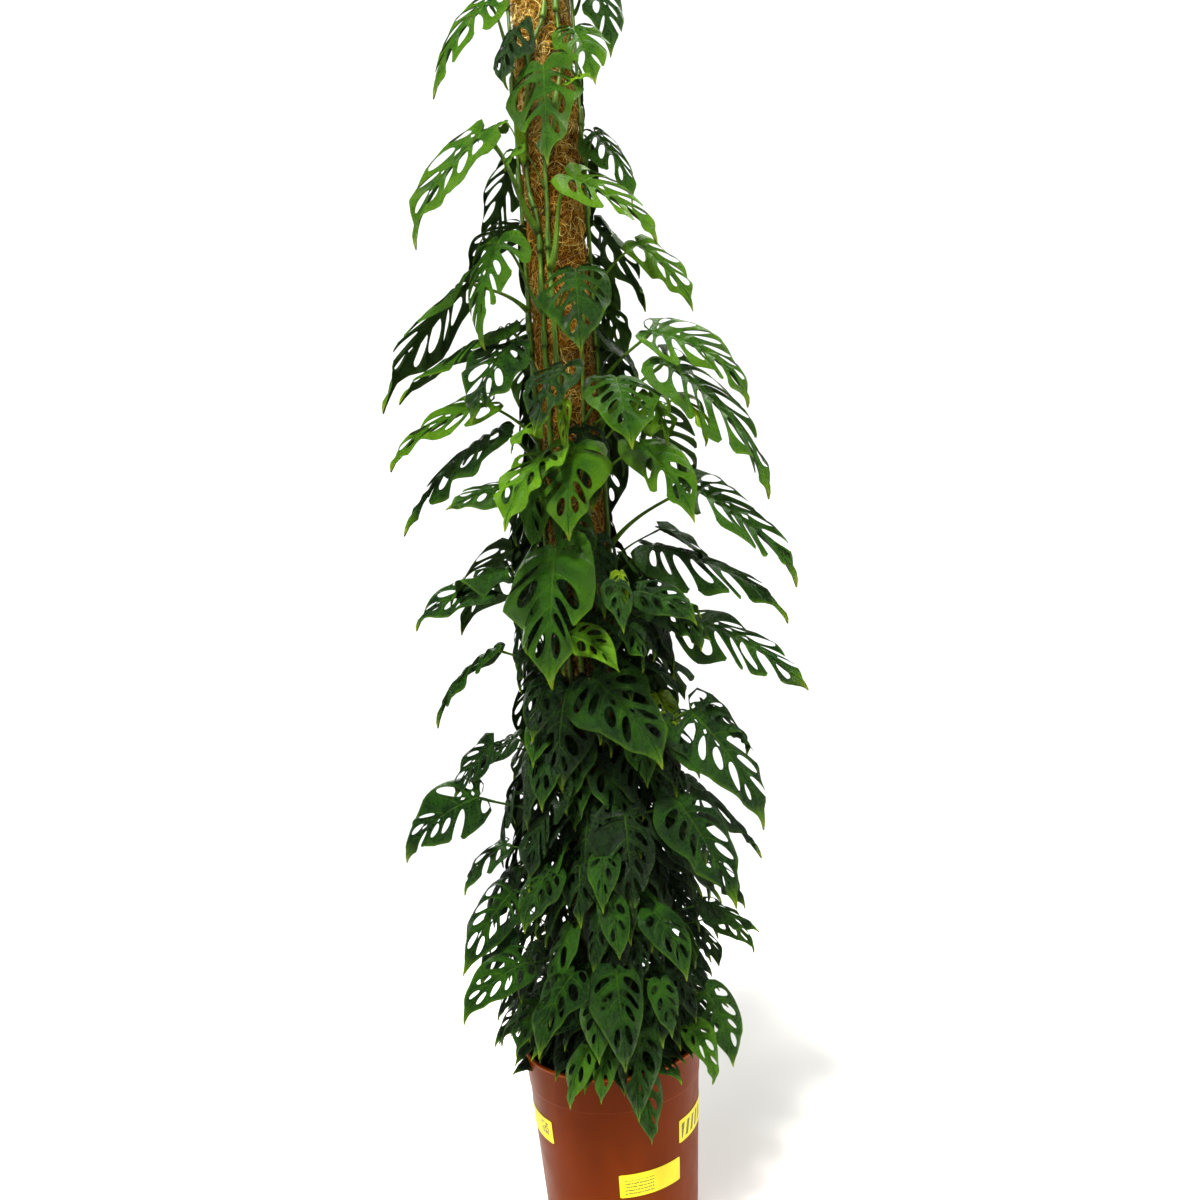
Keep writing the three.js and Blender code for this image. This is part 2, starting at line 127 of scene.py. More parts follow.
# Each leaf of the CAD model: its vine, the rise of its petiole, the blade's base (bearing, reach from
# the coir, height above the soil), the blade's length, its bearing, dip and roll. Millimetres.
LEAVES = [
    [4, 70, -65, 45, 1815, 205, -70, 60, -40],
    [3, 60, 85, 40, 1865, 165, 35, 75, 10],
    [2, 60, 40, 35, 1745, 160, 20, 60, 10],
    [1, 50, 0, 45, 1670, 185, 0, 80, 10],
    [1, 145, -45, 100, 1560, 235, -70, 55, -40],
    [3, 50, 60, 40, 1580, 150, 70, 65, 40],
    [2, 130, 15, 60, 1480, 190, 80, 40, 45],
    [1, 110, -45, 80, 1390, 195, -50, 75, -20],
    [4, 60, -95, 105, 1360, 280, -90, 50, 5],
    [4, 40, -65, 50, 1260, 230, -95, 30, -25],
    [1, 60, -45, 70, 1220, 175, -40, 55, -20],
    [4, 60, -65, 95, 1130, 205, -75, 30, -40],
    [4, 60, -70, 75, 1090, 250, -95, 45, -20],
    [2, 60, 15, 65, 1325, 160, 0, 70, 0],
    [5, 60, 35, 95, 1145, 175, 5, 50, -5],
    [3, 70, 80, 90, 1395, 160, 75, 55, 40],
    [3, 70, 60, 120, 1225, 215, 80, 40, 40],
    [3, 80, 60, 140, 1170, 290, 90, 55, 35],
    [5, 70, 40, 125, 1035, 170, 50, 55, 20],
    [5, 50, 5, 70, 1040, 170, -20, 70, -10],
    [2, 60, -15, 75, 880, 235, -20, 75, 15],
    [3, 90, 75, 155, 970, 250, 80, 45, 30],
    [3, 60, 80, 75, 875, 280, 80, 30, 20],
    [3, 80, 80, 135, 745, 235, 85, 35, 35],
    [5, 50, 5, 60, 663, 190, 60, 50, 40],
    [3, 80, 65, 135, 595, 230, 80, 60, 45],
    [5, 70, 50, 125, 455, 190, 45, 55, 15],
    [4, 60, -70, 110, 720, 170, -90, 50, 0],
    [4, 80, -70, 155, 475, 165, -75, 35, -45],
    [4, 60, -55, 125, 325, 150, -60, 50, -30],
    [4, 60, -40, 145, 225, 135, -65, 30, -40],
    [1, 60, -15, 135, 215, 135, -50, 50, -10],
    [2, 60, 5, 140, 220, 150, 5, 70, 0],
    [3, 60, 60, OVER_RIM, 135, 125, 55, 70, 35],
    [5, 50, 15, OVER_RIM, 115, 125, -20, 70, -5],
    [6, 60, 170, 50, 1805, 180, 175, 60, 10],
    [6, 60, -150, 70, 1615, 200, -140, 50, -20],
    [6, 60, 150, 90, 1495, 200, 140, 45, 25],
    [6, 70, -165, 100, 1315, 220, -160, 50, 15],
    [6, 60, 130, 100, 1135, 220, 130, 45, -20],
    [6, 60, 180, 90, 965, 210, 180, 50, -10],
    [6, 70, -130, 110, 895, 220, -130, 45, 20],
    [6, 70, 145, 120, 715, 220, 140, 40, 15],
    [6, 70, -150, 120, 565, 200, -150, 45, -25],
    [6, 60, 160, 120, 405, 180, 165, 50, 10],
    [2, 55, 25, 45, 1980, 120, 20, 40, 0],
]
# How light some of the blades are, from dark green at 0 to yellow-green at 1.
TONES = {1: .56, 2: .38, 3: .55, 4: .50, 5: .55, 6: .44, 7: .66, 8: .52, 9: .46, 10: .44, 11: .32, 12: .60,
         13: .34, 14: .36, 15: .46, 16: .62, 17: .54, 18: .48, 19: .54, 20: .56, 21: .44, 22: .44,
         23: .36, 24: .38, 25: .32, 26: .31, 27: .27, 28: .34, 29: .30, 30: .27, 31: .34, 32: .29, 33: .30,
         34: .36, 35: .30, 46: .6}
# What sets single leaves apart from the rest of their kind, in place of leaf_shape's random values.
FORMS = {
    1: dict(openness=1.1, torn=.45, cells=6, breadth=.9),
    2: dict(openness=.6, torn=.3, breadth=1.0, cells=6),
    3: dict(openness=.8, torn=.35, cells=6),
    4: dict(openness=1.0, torn=.4, cells=6, breadth=1.12, limp=.08, wave=.05),
    5: dict(openness=1.15, torn=.05, cells=6, breadth=.76, twist=0, stalk=1.4),
    6: dict(openness=.9, cells=6, breadth=.85),
    7: dict(openness=.9, torn=.6, cells=7, stalk=1.5),
    8: dict(openness=1.0, torn=.3, cells=8),
    9: dict(openness=1.05, torn=.5, cells=9, breadth=.95),
    10: dict(openness=1.0, torn=.4, cells=8),
    11: dict(openness=.95, torn=.3, cells=8),
    12: dict(openness=.9, torn=.2, breadth=.85),
    13: dict(openness=1.0, torn=.4, cells=9, breadth=.9),
    14: dict(openness=.75, torn=.05, cells=7, breadth=1.25, twist=0, sweep=0, fold=.05),
    15: dict(openness=.8, torn=.1, cells=7, breadth=1.2, twist=5),
    17: dict(openness=1.05, torn=.4, cells=9, breadth=1.1),
    18: dict(openness=1.1, torn=.5, cells=10, breadth=1.0),
    20: dict(openness=.85, torn=.15, cells=7, breadth=1.25, twist=0, sweep=0, fold=.12),
    21: dict(openness=.95, torn=.3, lopsided=.84, cells=8, breadth=1.28, twist=0, sweep=5, fold=.04,
             limp=.05, bend=22, hook=0),
    22: dict(openness=1.0, torn=.55, cells=9, breadth=.95),
    23: dict(openness=1.0, torn=.6, cells=10, breadth=.9),
    24: dict(openness=1.0, torn=.5, cells=9, breadth=.95),
    25: dict(openness=.7, torn=.15, cells=7, breadth=1.28, twist=0, sweep=5, fold=.06, limp=.03, bend=30),
    26: dict(openness=.9, torn=.2, breadth=1.1),
    27: dict(openness=.7, torn=.05, cells=7, breadth=1.05, twist=0),
    32: dict(openness=.72, torn=0, cells=5, breadth=.98, twist=0, fold=.04),
    33: dict(openness=.75, torn=0, cells=6, breadth=.95, twist=0, fold=.02, sweep=4),
    35: dict(openness=.7, torn=0, cells=6, breadth=.92, twist=0),
}


# ---- points and directions

def around(bearing, reach, height):
    """Points at bearings, at reaches from the pole's axis and at heights."""
    angle = np.radians(bearing)
    return np.stack(np.broadcast_arrays(np.sin(angle) * reach, -np.cos(angle) * reach, height), -1)


def compass(bearing):
    """The level direction of a bearing."""
    return around(bearing, 1, 0)


def unit(vectors):
    return vectors / np.maximum(np.linalg.norm(vectors, axis=-1, keepdims=True), 1e-12)


def level_unit(vectors):
    """The level directions in which vectors point."""
    return unit(vectors * [1, 1, 0])


def smooth(share):
    t = np.clip(share, 0, 1)
    return t * t * (3 - 2 * t)


def mix(start, end, share):
    return start + (end - start) * share


def spline(points, places):
    """A smooth curve through points, at places from 0 to 1."""
    points = np.asarray(points, float)
    padded = np.concatenate([2 * points[:1] - points[1:2], points, 2 * points[-1:] - points[-2:-1]])
    t = np.clip(np.asarray(places, float), 0, 1) * (len(points) - 1)
    i = np.minimum(t.astype(int), len(points) - 2)
    f = t - i
    if points.ndim > 1:
        f = f[..., None]
    a, b, c, d = padded[i], padded[i + 1], padded[i + 2], padded[i + 3]
    return 0.5 * (2 * b + (c - a) * f + (2 * a - 5 * b + 4 * c - d) * f ** 2
                  + (3 * b - a - 3 * c + d) * f ** 3)


def bezier(a, b, c, d, places):
    t = np.asarray(places)[:, None]
    return a * (1 - t) ** 3 + 3 * b * t * (1 - t) ** 2 + 3 * c * t ** 2 * (1 - t) + d * t ** 3


def vine_bearing(vine, height):
    """The bearing of a vine at a height above the soil, in metres."""
    route = VINES[vine - 1][1]
    level = height / MM
    bearing = np.full(np.shape(level), float(route[0][1]))
    for (low, start), (high, end) in zip(route, route[1:]):
        bearing = np.where(level >= low, mix(start, end, smooth((level - low) / (high - low))), bearing)
    return bearing


def vine_point(vine, height):
    """The middle of a vine at a height above the soil."""
    reach = mix(POLE_RADIUS + ROOT_SPREAD, VINE_HUG_RADIUS, smooth(height / VINE_LEAN_HEIGHT))
    return around(vine_bearing(vine, height), reach, SOIL_TOP + height)


# ---- meshes

def quads_between(first, second):
    """The quads between two grids of point numbers that lie side by side."""
    return np.stack([first[:, :-1], second[:, :-1], second[:, 1:], first[:, 1:]], -1).reshape(-1, 4)


class Shells:
    """Closed shells that are collected into one mesh, with what the materials read at each point.

    The uv is a pair, and the tint four numbers whose meaning each material says.
    """

    def __init__(self):
        self.points, self.faces, self.uvs, self.tints, self.creases = [], [], [], [], []
        self.count = 0

    def add(self, points, faces, uv=(0, 0), tint=(0, 0, 0, 0), creases=()):
        self.points.append(points)
        self.faces.extend((np.asarray(face) + self.count).tolist() for face in faces)
        self.uvs.append(np.broadcast_to(uv, (len(points), 2)))
        self.tints.append(np.broadcast_to(tint, (len(points), 4)))
        if len(creases):
            self.creases.append(np.asarray(creases) + self.count)
        self.count += len(points)
        return self

    def add_sheet(self, top, bottom, quads, uv, tint):
        """A sheet between two layers of points, with walls along the edges that only one quad has."""
        count = len(top)
        edges = quads[:, [0, 1, 1, 2, 2, 3, 3, 0]].reshape(-1, 2)
        keys = edges.min(1) * count + edges.max(1)
        _, which, times = np.unique(keys, return_index=True, return_counts=True)
        rim = edges[which[times == 1]]
        walls = np.stack([rim[:, 1], rim[:, 0], rim[:, 0] + count, rim[:, 1] + count], -1)
        return self.add(np.concatenate([top, bottom]), [quads, quads[:, ::-1] + count, walls],
                        np.concatenate([uv, uv]), tint, np.concatenate([rim, rim + count]))

    def add_tubes(self, paths, radii, sides, tint=(0, 0, 0, 0), oval=1.0):
        """Tubes along one path or several. The tint is one, or one for each point."""
        points, faces, uv = tubes(paths, radii, sides, oval)
        return self.add(points, faces, uv, tint)

    def build(self, name, material, slot, replaced=()):
        mesh = bpy.data.meshes.new(name)
        mesh.from_pydata(np.concatenate(self.points).tolist(), [], [f for face in self.faces for f in face])
        corners = np.empty(len(mesh.loops), np.int32)
        mesh.loops.foreach_get("vertex_index", corners)
        layer = mesh.uv_layers.new(name="place")
        layer.data.foreach_set("uv", np.concatenate(self.uvs)[corners].astype(np.float32).ravel())
        tint = mesh.attributes.new("tint", "FLOAT_COLOR", "POINT")
        tint.data.foreach_set("color", np.concatenate(self.tints).astype(np.float32).ravel())
        mesh.polygons.foreach_set("use_smooth", np.ones(len(mesh.polygons), bool))
        if self.creases:
            mark_sharp(mesh, np.concatenate(self.creases))
        mesh.update()
        return piece_of(mesh, name, material, replaced)


def mark_sharp(mesh, pairs):
    edges = np.empty(2 * len(mesh.edges), np.int32)
    mesh.edges.foreach_get("vertices", edges)
    size = len(mesh.vertices)

    def key(ends):
        ends = np.sort(ends.astype(np.int64).reshape(-1, 2), axis=1)
        return ends[:, 0] * size + ends[:, 1]

    sharp = mesh.attributes.new("sharp_edge", "BOOLEAN", "EDGE")
    sharp.data.foreach_set("value", np.isin(key(edges), key(pairs)))


def piece_of(mesh, name, material, replaced=()):
    mesh.materials.append(material)
    piece = bpy.data.objects.new(name, mesh)
    bpy.context.scene.collection.objects.link(piece)
    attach(piece, "root")
    if replaced:
        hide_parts(*replaced)
    return piece


def tubes(paths, radii, sides, oval):
    """Closed tubes along one path, or along several of equal step count: their points, faces and uvs."""
    if np.ndim(paths) == 2:
        paths, radii = paths[None], np.atleast_1d(radii)[None]
    count, steps, _ = paths.shape
    radii = np.broadcast_to(radii, (count, steps))
    tangents = unit(np.gradient(paths, axis=1))
    side = np.empty_like(paths)
    side[:, 0] = unit(np.cross(tangents[:, 0], [0.31, 0.52, 0.19]))
    for i in range(1, steps):
        across = (side[:, i - 1] * tangents[:, i]).sum(-1, keepdims=True)
        side[:, i] = unit(side[:, i - 1] - across * tangents[:, i])
    other = np.cross(tangents, side)
    angle = 2 * np.pi * np.arange(sides) / sides
    ring = side[:, :, None] * np.cos(angle)[:, None] + other[:, :, None] * (oval * np.sin(angle))[:, None]
    points = paths[:, :, None] + ring * radii[:, :, None, None]
    index = np.arange(count * steps * sides).reshape(count, steps, sides)
    walls = quads_between(index, np.roll(index, -1, axis=2))
    caps = np.concatenate([index[:, 0, ::-1], index[:, -1]])
    lengths = np.linalg.norm(np.diff(paths, axis=1), axis=-1)
    along = np.concatenate([np.zeros((count, 1)), np.cumsum(lengths, axis=1)], axis=1)
    uv = np.stack(np.broadcast_arrays(angle / (2 * np.pi), along[:, :, None]), -1).reshape(-1, 2)
    return points.reshape(-1, 3), [walls, caps], uv


# ---- leaf blades

# Half of a blade's outline in blade lengths, as (across, along), from the notch at the petiole around
# the basal lobe and down to the drip tip.
OUTLINE = [(.008, -.006), (.070, -.080), (.175, -.085), (.262, .01), (.300, .165), (.292, .335),
           (.245, .51), (.172, .67), (.094, .80), (.034, .90), (.003, 1.0)]
# Where the lateral veins leave the midrib and where they reach the outline, both as shares.
VEIN_ROOTS = [0, .02, .08, .17, .28, .41, .55, .70, 1]
VEIN_ENDS = [0, .32, .45, .55, .63, .70, .78, .87, 1]
ROWS = 15
MIDRIB_ROW = .035
COMMON_ROWS = np.concatenate([[0], np.linspace(MIDRIB_ROW, 1, ROWS - 1)])


def hole_rows(rng, kind, openness):
    """The rows of one cell between two veins: how far each lies from the midrib to the margin along
    the hole's edge, and the share of the cell that is blade on either side of the hole."""
    share = np.full(ROWS, 0.5)
    if kind == "whole":
        return COMMON_ROWS.copy(), share
    start = rng.uniform(.17, .27) + .10 * (1 - openness)
    stop = mix(rng.uniform(.66, .78), rng.uniform(.84, .92), openness)
    width = min(mix(.20, .39, openness) * rng.uniform(.85, 1.1), .44)
    bulge = rng.uniform(.75, 1.15)
    if kind == "open":
        inside = np.linspace(0, 1, ROWS - 3)[1:]
        rows = np.concatenate([[0, MIDRIB_ROW, start * .6, start], mix(start, 1, inside ** 1.15)])
        share[4:] = .5 - .85 * width * np.sin(inside ** .8 * rng.uniform(2.1, 2.7)) ** bulge
        return rows, share
    lead = [0, MIDRIB_ROW]
    if kind == "double":
        first = rng.uniform(.07, .09)
        last = start - rng.uniform(.05, .08)
        lead += [first, (first + last) / 2, last]
        share[3] = .5 - width * rng.uniform(.5, .75)
    else:
        lead += [start * .6]
    steps = ROWS - len(lead) - 2
    turn = np.pi * np.arange(1, steps) / steps
    skew = rng.uniform(.85, 1.2)
    inside = ((1 - np.cos(turn)) / 2) ** skew
    rows = np.concatenate([lead, [start], start + (stop - start) * inside, [stop, 1]])
    share[len(lead) + 1:len(lead) + steps] = .5 - width * np.sin(turn) ** bulge
    return rows, share


def blade_plane(rng, leaf):
    """The flat blade as a mesh: shares (along the veins a, from midrib to margin b) and which side."""
    cells, openness = leaf["cells"], leaf["openness"]
    points, faces = [], []
    for side in (1, -1):
        for cell in range(cells):
            draw = rng.random()
            whole = cell == cells - 1 or draw > mix(.74, .96, openness)
            if whole or (cell == 0 and draw > mix(.30, .65, openness)):
                kind = "whole"
            elif draw < leaf["torn"] and cell > 1:
                kind = "open"
            elif draw < leaf["torn"] + .30:
                kind = "double"
            else:
                kind = "single"
            open_share = openness * rng.uniform(.45, 1.2) * (.8 if cell in (0, cells - 2) else 1)
            rows, share = hole_rows(rng, kind, min(open_share, 1.1))
            for far_half in (False, True):
                weight = np.array([1, .5, 0] if far_half else [0, .5, 1])
                across = share[:, None] * weight
                if far_half:
                    across = 1 - across
                b = mix(COMMON_ROWS[:, None], rows[:, None], weight)
                if kind == "open":
                    b[-1] -= .07 * weight ** 3
                strip = len(faces) * b.size + np.arange(b.size).reshape(b.shape).T
                faces.append(quads_between(strip[:-1], strip[1:])[:, ::side])
                points.append(np.stack([(cell + across) / cells, b, np.full(b.shape, side)], -1))
    a, b, side = np.concatenate(points).reshape(-1, 3).T
    _, first, where = np.unique(np.round(np.stack([a, b * side], 1), 6), axis=0,
                                return_index=True, return_inverse=True)
    return a[first], b[first], side[first], where.ravel()[np.concatenate(faces)]


def blade_frame(leaf, along):
    """The midrib's points and the blade's directions at shares of its length."""
    steps = 64
    share = np.linspace(0, 1, steps + 1)
    dip = leaf["dip"] - leaf["bend"] / 2 + leaf["bend"] * share + leaf["hook"] * np.maximum(share - .7, 0)
    bearing = leaf["bearing"] + leaf["sweep"] * share ** 1.5
    ahead = compass(bearing)
    dip = np.radians(dip)[:, None]
    direction = ahead * np.cos(dip) - UP * np.sin(dip)
    middle = (direction[1:] + direction[:-1]) / 2
    midrib = leaf["base"] + leaf["length"] * np.concatenate([np.zeros((1, 3)), np.cumsum(middle, 0) / steps])
    level = np.cross(UP, ahead)
    roll = np.radians(leaf["roll"] + leaf["twist"] * share)[:, None]
    side = level * np.cos(roll) + np.cross(direction, level) * np.sin(roll)
    normal = np.cross(direction, side)

    def at(table):
        return np.stack([np.interp(np.maximum(along, 0), share, table[:, i]) for i in range(3)], -1)

    back = np.minimum(along, 0)[:, None] * leaf["length"] * direction[0]
    return at(midrib) + back, at(side), at(normal)


def blade(shells, leaf, rng):
    """Adds a blade with its holes to the shells, as one thin closed sheet."""
    a, b, side, quads = blade_plane(rng, leaf)
    cells, length = leaf["cells"], leaf["length"]
    posts = range(cells + 1)
    rungs = range(len(VEIN_ROOTS))
    place = a * cells
    shifts = rng.uniform(-.28, .28, (2, 2, cells + 1))
    shifts[..., [0, -1]] = 0

    def shifted(table, shift):
        moved = np.where(side > 0, *(np.interp(place, posts, row) for row in shift))
        return np.interp((a + moved / cells) * rungs[-1], rungs, table)

    roots = shifted(VEIN_ROOTS, shifts[0])
    ends = shifted(VEIN_ENDS, shifts[0] + .5 * shifts[1])
    margin = spline(OUTLINE, ends)
    lobes = [np.interp(place, posts, 1 + .07 * rng.standard_normal(cells + 1)) for _ in (0, 1)]
    breadth = leaf["breadth"] * np.where(side > 0, lobes[0] * leaf["lopsided"], lobes[1] / leaf["lopsided"])
    middle = 4 * b * (1 - b)
    x = side * margin[:, 0] * b * breadth
    y = mix(roots, margin[:, 1], b) - .05 * np.sin(np.pi * np.clip(a * 1.1, 0, 1)) * middle
    between = np.abs(np.sin(np.pi * place))
    droops = np.interp(place, posts, rng.uniform(-1, 1, cells + 1))
    free = smooth(np.minimum(a / .12, (1 - a) / .25))  # the halves stay joined at the notch and the tip
    ripple = np.sin(2 * np.pi * (a * leaf["ripples"] + side * .2) + leaf["phase"])
    lift = (-leaf["cup"] * (x / HALF_WIDTH) ** 2 + leaf["fold"] * np.abs(x)
            + leaf["quilt"] * between * np.sqrt(np.clip(middle, 0, 1))
            + free * b ** 2 * (leaf["wave"] * ripple - leaf["limp"] * droops * side))
    groove = -.7 * MM * np.exp(-(b / .02) ** 2) - .25 * MM * np.exp(-(between / .15) ** 2)
    midrib, sideways, normal = blade_frame(leaf, y)
    top = midrib + sideways * (x * length)[:, None] + normal * (lift * length + groove)[:, None]
    ridge = np.exp(-(b / .03) ** 2) * mix(2.2, .5, np.clip(y, 0, 1)) * MM
    thickness = (.5 * MM + ridge + .35 * MM * np.exp(-(between / .2) ** 2) * (1 - b)) * leaf["thick"]
    bottom = top - normal * thickness[:, None]
    uv = np.stack([place, side * b], -1)
    tints = [np.stack(np.broadcast_arrays(leaf["tone"], y, under, 0.0), -1) for under in (0.0, 1.0)]
    shells.add_sheet(top, bottom, quads, uv, np.concatenate(tints))


def petiole(shells, leaf):
    """The stalk from the vine to the blade: a sheathed foot, a slim middle and a thicker joint."""
    base = leaf["base"]
    root = vine_point(leaf["vine"], base[2] - SOIL_TOP - leaf["rise"])
    outward = level_unit(base - root)

    def aim(angle):
        return outward * math.cos(math.radians(angle)) + UP * math.sin(math.radians(angle))

    start = root + outward * VINE_RADIUS * .4
    span = np.linalg.norm(base - start)
    (_, inward), _, (normal, _) = blade_frame(leaf, np.array([0, .05]))
    end = base - normal * 1.2 * MM
    share = np.linspace(0, 1, 16)
    path = bezier(start, start + aim(PETIOLE_START_RISE) * .4 * span,
                  end - aim(PETIOLE_END_RISE) * .35 * span, end, share)
    path = np.concatenate([path, [inward - normal * 1.4 * MM]])
    share = np.append(share, 1.06)
    radius = mix(PETIOLE_BASE_RADIUS, PETIOLE_RADIUS * .8, smooth(share * 1.6))
    radius += .9 * MM * np.exp(-((share - .93) / .07) ** 2) + 1.0 * MM * np.exp(-(share / .12) ** 2)
    radius[-1] = 1.2 * MM
    radius *= np.clip(leaf["length"] / .2 * 1.15, .55, 1.3) * leaf["stalk"]
    shells.add_tubes(path, radius, 10, (leaf["tone"], 0, 0, 1))


def leaf_shape(rng, vine, rise, bearing, reach, height, length, heading, dip, roll, tone=None):
    """Everything that sets the form of one leaf. The sizes are in millimetres."""
    base = around(bearing, POLE_RADIUS + reach * MM, SOIL_TOP + height * MM)
    size = float(np.clip((length - 95) / 110, 0, 1))
    if tone is None:
        tone = mix(.10, .50, np.clip(height / 1700, 0, 1)) + rng.uniform(-.10, .14)
    bend = min(BLADE_DROOP + rng.uniform(-8, 22), max(2 * (97 - dip), 8))
    hook = min(rng.uniform(-40, 80), (104 - dip - bend / 2) / .3)
    return {
        "vine": vine, "rise": rise * MM, "base": base, "length": length * MM,
        "bearing": heading, "dip": dip, "roll": roll, "tone": tone, "bend": bend, "hook": hook,
        "sweep": rng.uniform(-22, 22), "twist": rng.uniform(-22, 22),
        "cup": BLADE_CUP + rng.uniform(-.03, .10), "fold": rng.uniform(-.12, .36),
        "quilt": rng.uniform(.018, .034), "wave": rng.uniform(.010, .040), "ripples": rng.uniform(1.5, 4),
        "phase": rng.uniform(0, 6.28), "limp": rng.uniform(.0, .04), "thick": mix(.8, 1.1, size),
        "breadth": rng.uniform(.88, 1.04) * mix(.93, 1.12, size), "lopsided": rng.uniform(.92, 1.08),
        "cells": 5 + int(round(2.4 * size + rng.uniform(-.4, .4))),
        "openness": float(np.clip(.46 + .54 * size + rng.uniform(-.12, .12), 0, 1)),
        "torn": mix(.02, .26, size), "stalk": 1.0,
    }


def build_leaf(shells, leaf, rng):
    blade(shells, leaf, rng)
    petiole(shells, leaf)


# ---- materials

class Shader:
    """A small helper to write a node material from its inner values out to the principled shader."""

    def __init__(self, name):
        self.material = bpy.data.materials.new(name)
        self.material.use_nodes = True
        self.tree = self.material.node_tree
        self.surface = self.tree.nodes["Principled BSDF"]

    def node(self, kind, inputs=(), **settings):
        node = self.tree.nodes.new(kind)
        for key, value in settings.items():
            setattr(node, key, value)
        for key, value in dict(inputs).items():
            self.put(node.inputs[key], value)
        return node

    def put(self, socket, value):
        if isinstance(value, bpy.types.NodeSocket):
            self.tree.links.new(value, socket)
        elif isinstance(value, (tuple, list)) and socket.type == "RGBA":
            socket.default_value = (*value[:3], 1)
        else:
            socket.default_value = value

    def math(self, operation, *values, clamp=False):
        return self.node("ShaderNodeMath", enumerate(values), operation=operation, use_clamp=clamp).outputs[0]

    def times(self, first, second):
        return self.math("MULTIPLY", first, second)

    def plus(self, first, second, clamp=False):
        return self.math("ADD", first, second, clamp=clamp)

    def span(self, value, low, high, to_low=0.0, to_high=1.0):
        inputs = {"Value": value, "From Min": low, "From Max": high, "To Min": to_low, "To Max": to_high}
        return self.node("ShaderNodeMapRange", inputs, interpolation_type="SMOOTHSTEP").outputs[0]

    def blend(self, share, first, second):
        return self.node("ShaderNodeMix", {0: share, 6: first, 7: second}, data_type="RGBA").outputs[2]

    def ramp(self, value, stops):
        node = self.node("ShaderNodeValToRGB", {"Fac": value})
        elements = node.color_ramp.elements
        while len(elements) < len(stops):
            elements.new(.5)
        for element, (place, color) in zip(elements, stops):
            element.position = place
            element.color = (*color, 1)
        return node.outputs[0]

    def split(self, vector):
        return self.node("ShaderNodeSeparateXYZ", {0: vector}).outputs

    def place(self, scale=(1, 1, 1), turn=(0, 0, 0)):
        where = self.node("ShaderNodeTexCoord").outputs["Object"]
        return self.node("ShaderNodeMapping", {"Vector": where, "Scale": scale, "Rotation": turn}).outputs[0]

    def noise(self, scale, detail=3.0, where=None, rough=.55, distortion=0.0):
        inputs = {"Vector": where or self.place(), "Scale": scale, "Detail": detail, "Roughness": rough,
                  "Distortion": distortion}
        return self.node("ShaderNodeTexNoise", inputs).outputs[0]

    def tint(self):
        node = self.node("ShaderNodeAttribute", attribute_name="tint")
        colors = self.node("ShaderNodeSeparateColor", {0: node.outputs["Color"]}).outputs
        return colors[0], colors[1], colors[2], node.outputs["Alpha"]

    def uv(self):
        outputs = self.split(self.node("ShaderNodeUVMap", uv_map="place").outputs[0])
        return outputs[0], outputs[1]

    def bump(self, height, distance, strength=1.0):
        inputs = {"Height": height, "Distance": distance, "Strength": strength}
        return self.node("ShaderNodeBump", inputs).outputs[0]

    def finish(self, **values):
        for key, value in values.items():
            name = key.replace("_", " ").title().replace("Ior", "IOR")
            self.put(self.surface.inputs[name], value)
        return self.material


def leaf_green():
    """Reads the tint as: tone from dark to yellow-green, place along the blade, underside, petiole."""
    s = Shader("leaf_green")
    tone, along, under, stalk = s.tint()
    u, v = s.uv()
    across = s.math("ABSOLUTE", v)
    grain = s.noise(28, 4)
    shade = s.plus(tone, s.span(grain, .3, .7, -.09, .09), clamp=True)
    green = s.ramp(shade, [(0, (.0022, .014, .003)), (.25, (.006, .038, .004)), (.5, (.042, .150, .004)),
                           (.75, (.130, .30, .003)), (1, (.34, .50, .004))])
    veer = s.math("FRACT", u)
    lateral = s.math("MINIMUM", veer, s.math("SUBTRACT", 1.0, veer))
    lateral_vein = s.times(s.span(lateral, .015, .06, 1, 0), s.span(across, .35, .95, .6, 0))
    main_vein = s.span(across, .012, .05, .75, 0)
    vein = s.math("MAXIMUM", lateral_vein, main_vein)
    vein = s.times(vein, s.math("SUBTRACT", 1.0, stalk))
    panel = s.times(s.span(lateral, .05, .5), s.span(grain, .35, .65, .3, 1))
    green = s.blend(s.times(panel, .26), green, (.006, .035, .005))
    green = s.blend(s.times(vein, .55), green, (.115, .26, .014))
    tip = s.times(s.span(along, .78, .97), .6)
    edge = s.times(s.span(across, .90, 1.0), s.span(along, .2, .9, .12, .6))
    edge = s.times(edge, s.span(tone, .1, .5, .3, 1))
    lobe = s.times(s.span(across, .35, 1.0, 0, .5), s.span(tone, .35, .7))
    young = s.math("MAXIMUM", s.math("MAXIMUM", tip, edge), lobe)
    green = s.blend(young, green, (.21, .42, .008))
    green = s.blend(s.times(s.span(along, .90, .99), .75), green, (.46, .56, .012))
    mottle = s.noise(190, 3)
    green = s.blend(s.span(mottle, .35, .75, 0, .16), green, (.09, .20, .012))
    green = s.blend(s.times(under, .5), green, (.060, .130, .014))
    stem = s.blend(s.span(shade, .05, .8), (.016, .068, .005), (.23, .44, .025))
    green = s.blend(stalk, green, stem)
    cells = s.node("ShaderNodeTexVoronoi", {"Scale": 420.0}, feature="DISTANCE_TO_EDGE").outputs[0]
    relief = s.plus(s.times(s.span(cells, 0, .25), .3), s.noise(45, 3))
    relief = s.math("SUBTRACT", relief, s.times(vein, 1.2))
    rough = s.plus(s.span(mottle, .3, .7, .25, .38), s.times(under, .25))
    return s.finish(base_color=green, roughness=rough, normal=s.bump(relief, .0022, .8),
                    specular_ior_level=.36)


